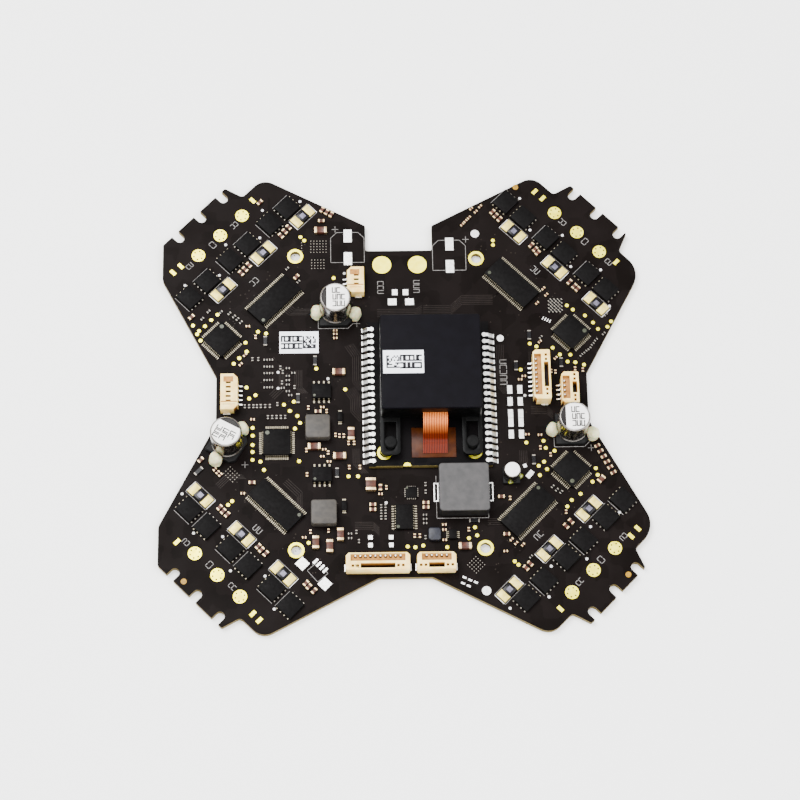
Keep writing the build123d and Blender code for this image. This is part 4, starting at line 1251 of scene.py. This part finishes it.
class BOARD_OT_inductors(bpy.types.Operator):
    """Power inductors and their terminals"""

    bl_idname = "board.inductors"
    bl_label = "Inductors"

    def execute(self, context):
        main = softened("main_inductor", 0.25, None, 3)
        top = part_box("main_inductor")[1].z / MM
        # Faces more than half a millimetre below the top take the nearly black flank finish.
        paint(main, 1, lambda centre, normal: centre.z < top - 0.5)
        dress(main, "powder", "powder side")
        hand_over(main, "board")
        terminals = softened("main_inductor_terminals", 0)
        edit_faces(terminals, lambda centre, normal: normal.z > 0.9)
        bpy.ops.mesh.inset(thickness=0.3 * MM, depth=-0.08 * MM)
        leave_edit()
        # The sunk middle of each terminal top is painted black: painted shade in the recess.
        paint(terminals, 1, lambda centre, normal: normal.z > 0.9 and centre.z < TOP + 0.3)
        bevel(terminals, 0.05, 2)
        dress(terminals, "tin", "base")
        hand_over(terminals, "board")
        bucks = softened("buck_inductors", 0.45, None, 3)
        paint(bucks, 1, lambda centre, normal: centre.x > 0)
        dress(bucks, "warm ferrite", "ferrite")
        hand_over(bucks, "board")
        return {"FINISHED"}


class BOARD_OT_connectors(bpy.types.Operator):
    """Nylon cable sockets with their contacts"""

    bl_idname = "board.connectors"
    bl_label = "Connectors"

    def execute(self, context):
        for node in TOP_CONNECTORS + SIDE_CONNECTORS:
            low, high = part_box(node)
            low, high = low / MM, high / MM
            shell = softened(node, 0.12)

            def shaded(c, n):
                inside_x = low.x + 0.3 < c.x < high.x - 0.3
                inside_y = low.y + 0.3 < c.y < high.y - 0.3
                return inside_x and inside_y and TOP + 0.2 < c.z < high.z - 0.2

            # Inner faces take the nylon's painted shade, darker with depth.
            paint(shell, 1, shaded)
            dress(shell, "nylon", "nylon inside")
            if node in SIDE_CONNECTORS:
                # Flat plates in the shaded nylon on the side sockets' tops: painted shade of the step and
                # recess at each end.
                middle_x = (low.x + high.x) / 2
                shade_plates = [shell]
                for x, y, wide, deep in (
                    (middle_x - 0.2, high.y - 1.5, 2.5, 1.5),
                    (middle_x, low.y + 2.1, 4.1, 0.3),
                    (middle_x, low.y + 1.4, 3.2, 0.14),
                ):
                    shade_plate = add_box((wide, deep, 0.03), (x, y, high.z + 0.005))
                    bevel(shade_plate, 0.01, 1)
                    paint(shade_plate, 1, everything)
                    shade_plates.append(dress(shade_plate, "nylon", "nylon inside"))
                shell = join(shade_plates, f"{node}_body")
            hand_over(shell, "board")
            contacts = softened(f"{node}_contacts", 0.04, None, 1)
            dress(contacts, "tin")
            hand_over(contacts, "board")
        return {"FINISHED"}


class BOARD_OT_chips(bpy.types.Operator):
    """Ceramic capacitors, resistors and arrays"""

    bl_idname = "board.chips"
    bl_label = "Chip parts"

    def execute(self, context):
        master = chip_master("ceramic", 0.2)
        places = []
        for size, sites in LARGE_CAPS.items():
            places += on_board(sites, size)
        piece = spread(master, places, "large_ceramic_capacitors")
        bevel(piece, 0.08, 2)
        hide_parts("ceramic_capacitors")
        hand_over(piece, "board")
        resistors = RESISTORS_0402 + DENSE_PATCH + PAIR_COLUMN + FILTER_GRID
        for name, finish, share, sites, size in (
            ("ceramic_capacitors_0603", "ceramic", 0.22, CAPS_0603, (1.6, 0.8, 0.75)),
            ("ceramic_capacitors_0402", "ceramic", 0.26, CAPS_0402, (1.05, 0.55, 0.5)),
            ("ceramic_capacitors_edge", "ceramic", 0.24, EDGE_CAPS, (1.45, 0.75, 0.6)),
            ("resistors_0402", "resistor", 0.25, resistors, (1.0, 0.5, 0.35)),
            ("chip_arrays", "resistor", 0.12, ARRAYS, (2.6, 0.9, 0.5)),
        ):
            # Resistor and array ends take the darker tin of painted shade.
            ends = "dim lead" if finish == "resistor" else "chip end"
            lay(chip_master(finish, share, ends), on_board(sites, size), name)
        return {"FINISHED"}


class BOARD_OT_module(bpy.types.Operator):
    """Stamp-sized control module with its castellated solder joints"""

    bl_idname = "board.module"
    bl_label = "Control module"

    def execute(self, context):
        # The module's darker mask carries the sensor block's painted shadow.
        recolour("module mask", "control_module")
        joints = softened("castellation_joints", 0.1)
        dress(joints, "tin")
        hand_over(joints, "board")
        pads = []
        rounds = []
        for edge, first, count, out in ((-8.8, 18.85, 21, -1), (22.6, 17.0, 20, 1)):
            for k in range(count):
                y = first - 1.8 * k
                rounds.append(place(edge - out * 1.15, y, MODULE_TOP, 0, (1.15, 1.15, 0.03)))
                pads.append(place(edge - out * 0.5, y, MODULE_TOP, 0, (0.9, 0.85, 0.03)))
                pads.append(place(edge + out * 0.75, y, TOP, 0, (1.4, 1.05, 0.04)))
        lay(land_master("tin"), pads, "castellation_pads")
        lay(spot_master("tin"), rounds, "castellation_rounds")
        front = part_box("control_module")[0].y
        strip = add_box((15.6, 0.12, 0.5), (0.8, front / MM + 0.07, MODULE_TOP - 0.24))
        bevel(strip, 0.04, 1)
        dress(strip, "bare edge")
        moon = add_disc(0.95, 0.03, (0.9, front / MM + 0.1, MODULE_TOP - 0.01), 24)
        halve(moon, (0, front + 0.1 * MM, 0), (0, 1, 0))
        dress(moon, "gold")
        piece = join([strip, moon], "module_edge")
        hand_over(piece, "board")
        return {"FINISHED"}


class BOARD_OT_sensor_block(bpy.types.Operator):
    """Floating sensor block: housing, lid, bracket, dampers, ribbon and stiffener"""

    bl_idname = "board.sensor_block"
    bl_label = "Sensor block"

    def execute(self, context):
        # The lid's faint blue is painted reflection; housing and bracket are a touch darker as painted
        # shade.
        for node, width, finish in (
            ("sensor_housing", 0.3, "block side"),
            ("sensor_lid", 0.2, "block"),
            ("sensor_bracket", 0.18, "block side"),
        ):
            piece = softened(node, width, None, 3)
            dress(piece, finish)
            hand_over(piece, "sensor_block")
        recolour("brass", "sensor_weight")
        # The sensor board takes the same mask with painted shadow.
        recolour("module mask", "sensor_board")
        dampers = softened("rubber_dampers", 0.12)
        dress(dampers, "rubber")
        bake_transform(dampers)
        ribbon = softened("flex_ribbon", 0)
        only(ribbon)
        bpy.ops.object.shade_smooth_by_angle(angle=SMOOTH_ANGLE)
        # The ribbon's material paints a highlight on its crest and shade at its foot.
        dress(ribbon, "ribbon")
        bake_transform(ribbon)
        stiffener = softened("flex_stiffener", 0.06)
        dress(stiffener, "film")
        hand_over(stiffener, "board")
        return {"FINISHED"}


class BOARD_OT_labels(bpy.types.Operator):
    """Paper labels with a meaningless square pattern and generic marks"""

    bl_idname = "board.labels"
    bl_label = "Labels"

    def execute(self, context):
        for node, body, code_side, seed in (
            ("board_label", "board", 1, 21),
            ("sensor_label", "sensor_block", -1, 22),
        ):
            low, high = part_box(node)
            centre = (low + high) / 2 / MM
            top = high.z / MM - INK_T
            paper = softened(node, 0.02, None, 1)
            for vertex in paper.data.vertices:
                vertex.co.z = min(vertex.co.z, top * MM)
            paint(paper, 0, everything)
            dress(paper, "paper", "print")
            filled, step = code_square(centre.x + code_side * 2.65, centre.y, 3.4, 9, seed)
            cell = add_box((1, 1, 1), (0, 0, 0.5))
            paint(cell, 1, everything)
            dress(cell, "paper", "print")
            grow = step * 1.04
            cells = spread(cell, [place(x, y, top, 0, (grow, grow, 0.012)) for x, y in filled], "cells")
            rows = []
            for shift in (1.0, -1.0):
                spot = (centre.x - code_side * 1.9, centre.y + shift)
                rows += glyph_row(*spot, 5, 1.3, 0, seed + int(shift * 10))
            marks = strokes(rows, 0.42, top, "rows", "print")
            piece = join([paper, cells, marks], f"{node}_printed")
            hand_over(piece, body)
        return {"FINISHED"}


# ======================================================================================
# Settings, panel and registration
# ======================================================================================
class BoardSizes(bpy.types.PropertyGroup):
    """Sizes and light levels that may be changed before the pieces are made."""

    test_point: FloatProperty(
        name="Test point", description="Diameter of a gold test point", default=0.98 * MM, unit="LENGTH"
    )
    legend_line: FloatProperty(
        name="Legend line", description="Width of a screened line", default=0.13 * MM, unit="LENGTH"
    )
    key_power: FloatProperty(
        name="Key light", description="Power of the key softbox", default=16.0, unit="POWER"
    )
    sky_strength: FloatProperty(
        name="Sky", description="Strength of the even light from all round", default=1.6, min=0.0
    )


OPERATORS = (
    BOARD_OT_stage,
    BOARD_OT_finishes,
    BOARD_OT_bare_board,
    BOARD_OT_legend,
    BOARD_OT_packages,
    BOARD_OT_power_stage,
    BOARD_OT_capacitors,
    BOARD_OT_inductors,
    BOARD_OT_connectors,
    BOARD_OT_chips,
    BOARD_OT_module,
    BOARD_OT_sensor_block,
    BOARD_OT_labels,
)


class BOARD_PT_build(bpy.types.Panel):
    """Lists the settings and the steps that build the board"""

    bl_idname = "BOARD_PT_build"
    bl_label = "Speed controller board"
    bl_space_type = "VIEW_3D"
    bl_region_type = "UI"
    bl_category = "Board"

    def draw(self, context):
        sizes = context.scene.board_sizes
        for name in ("test_point", "legend_line", "key_power", "sky_strength"):
            self.layout.prop(sizes, name)
        for step in OPERATORS:
            self.layout.operator(step.bl_idname)


CLASSES = (BoardSizes, *OPERATORS, BOARD_PT_build)


def register():
    """Make the settings, the steps and the panel known."""
    for item in CLASSES:
        bpy.utils.register_class(item)
    bpy.types.Scene.board_sizes = PointerProperty(type=BoardSizes)


def unregister():
    """Take them away again."""
    del bpy.types.Scene.board_sizes
    for item in reversed(CLASSES):
        bpy.utils.unregister_class(item)


def main():
    """Build everything in order."""
    register()
    for step in OPERATORS:
        group, name = step.bl_idname.split(".")
        getattr(getattr(bpy.ops, group), name)()
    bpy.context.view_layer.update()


if __name__ == "__main__":
    main()
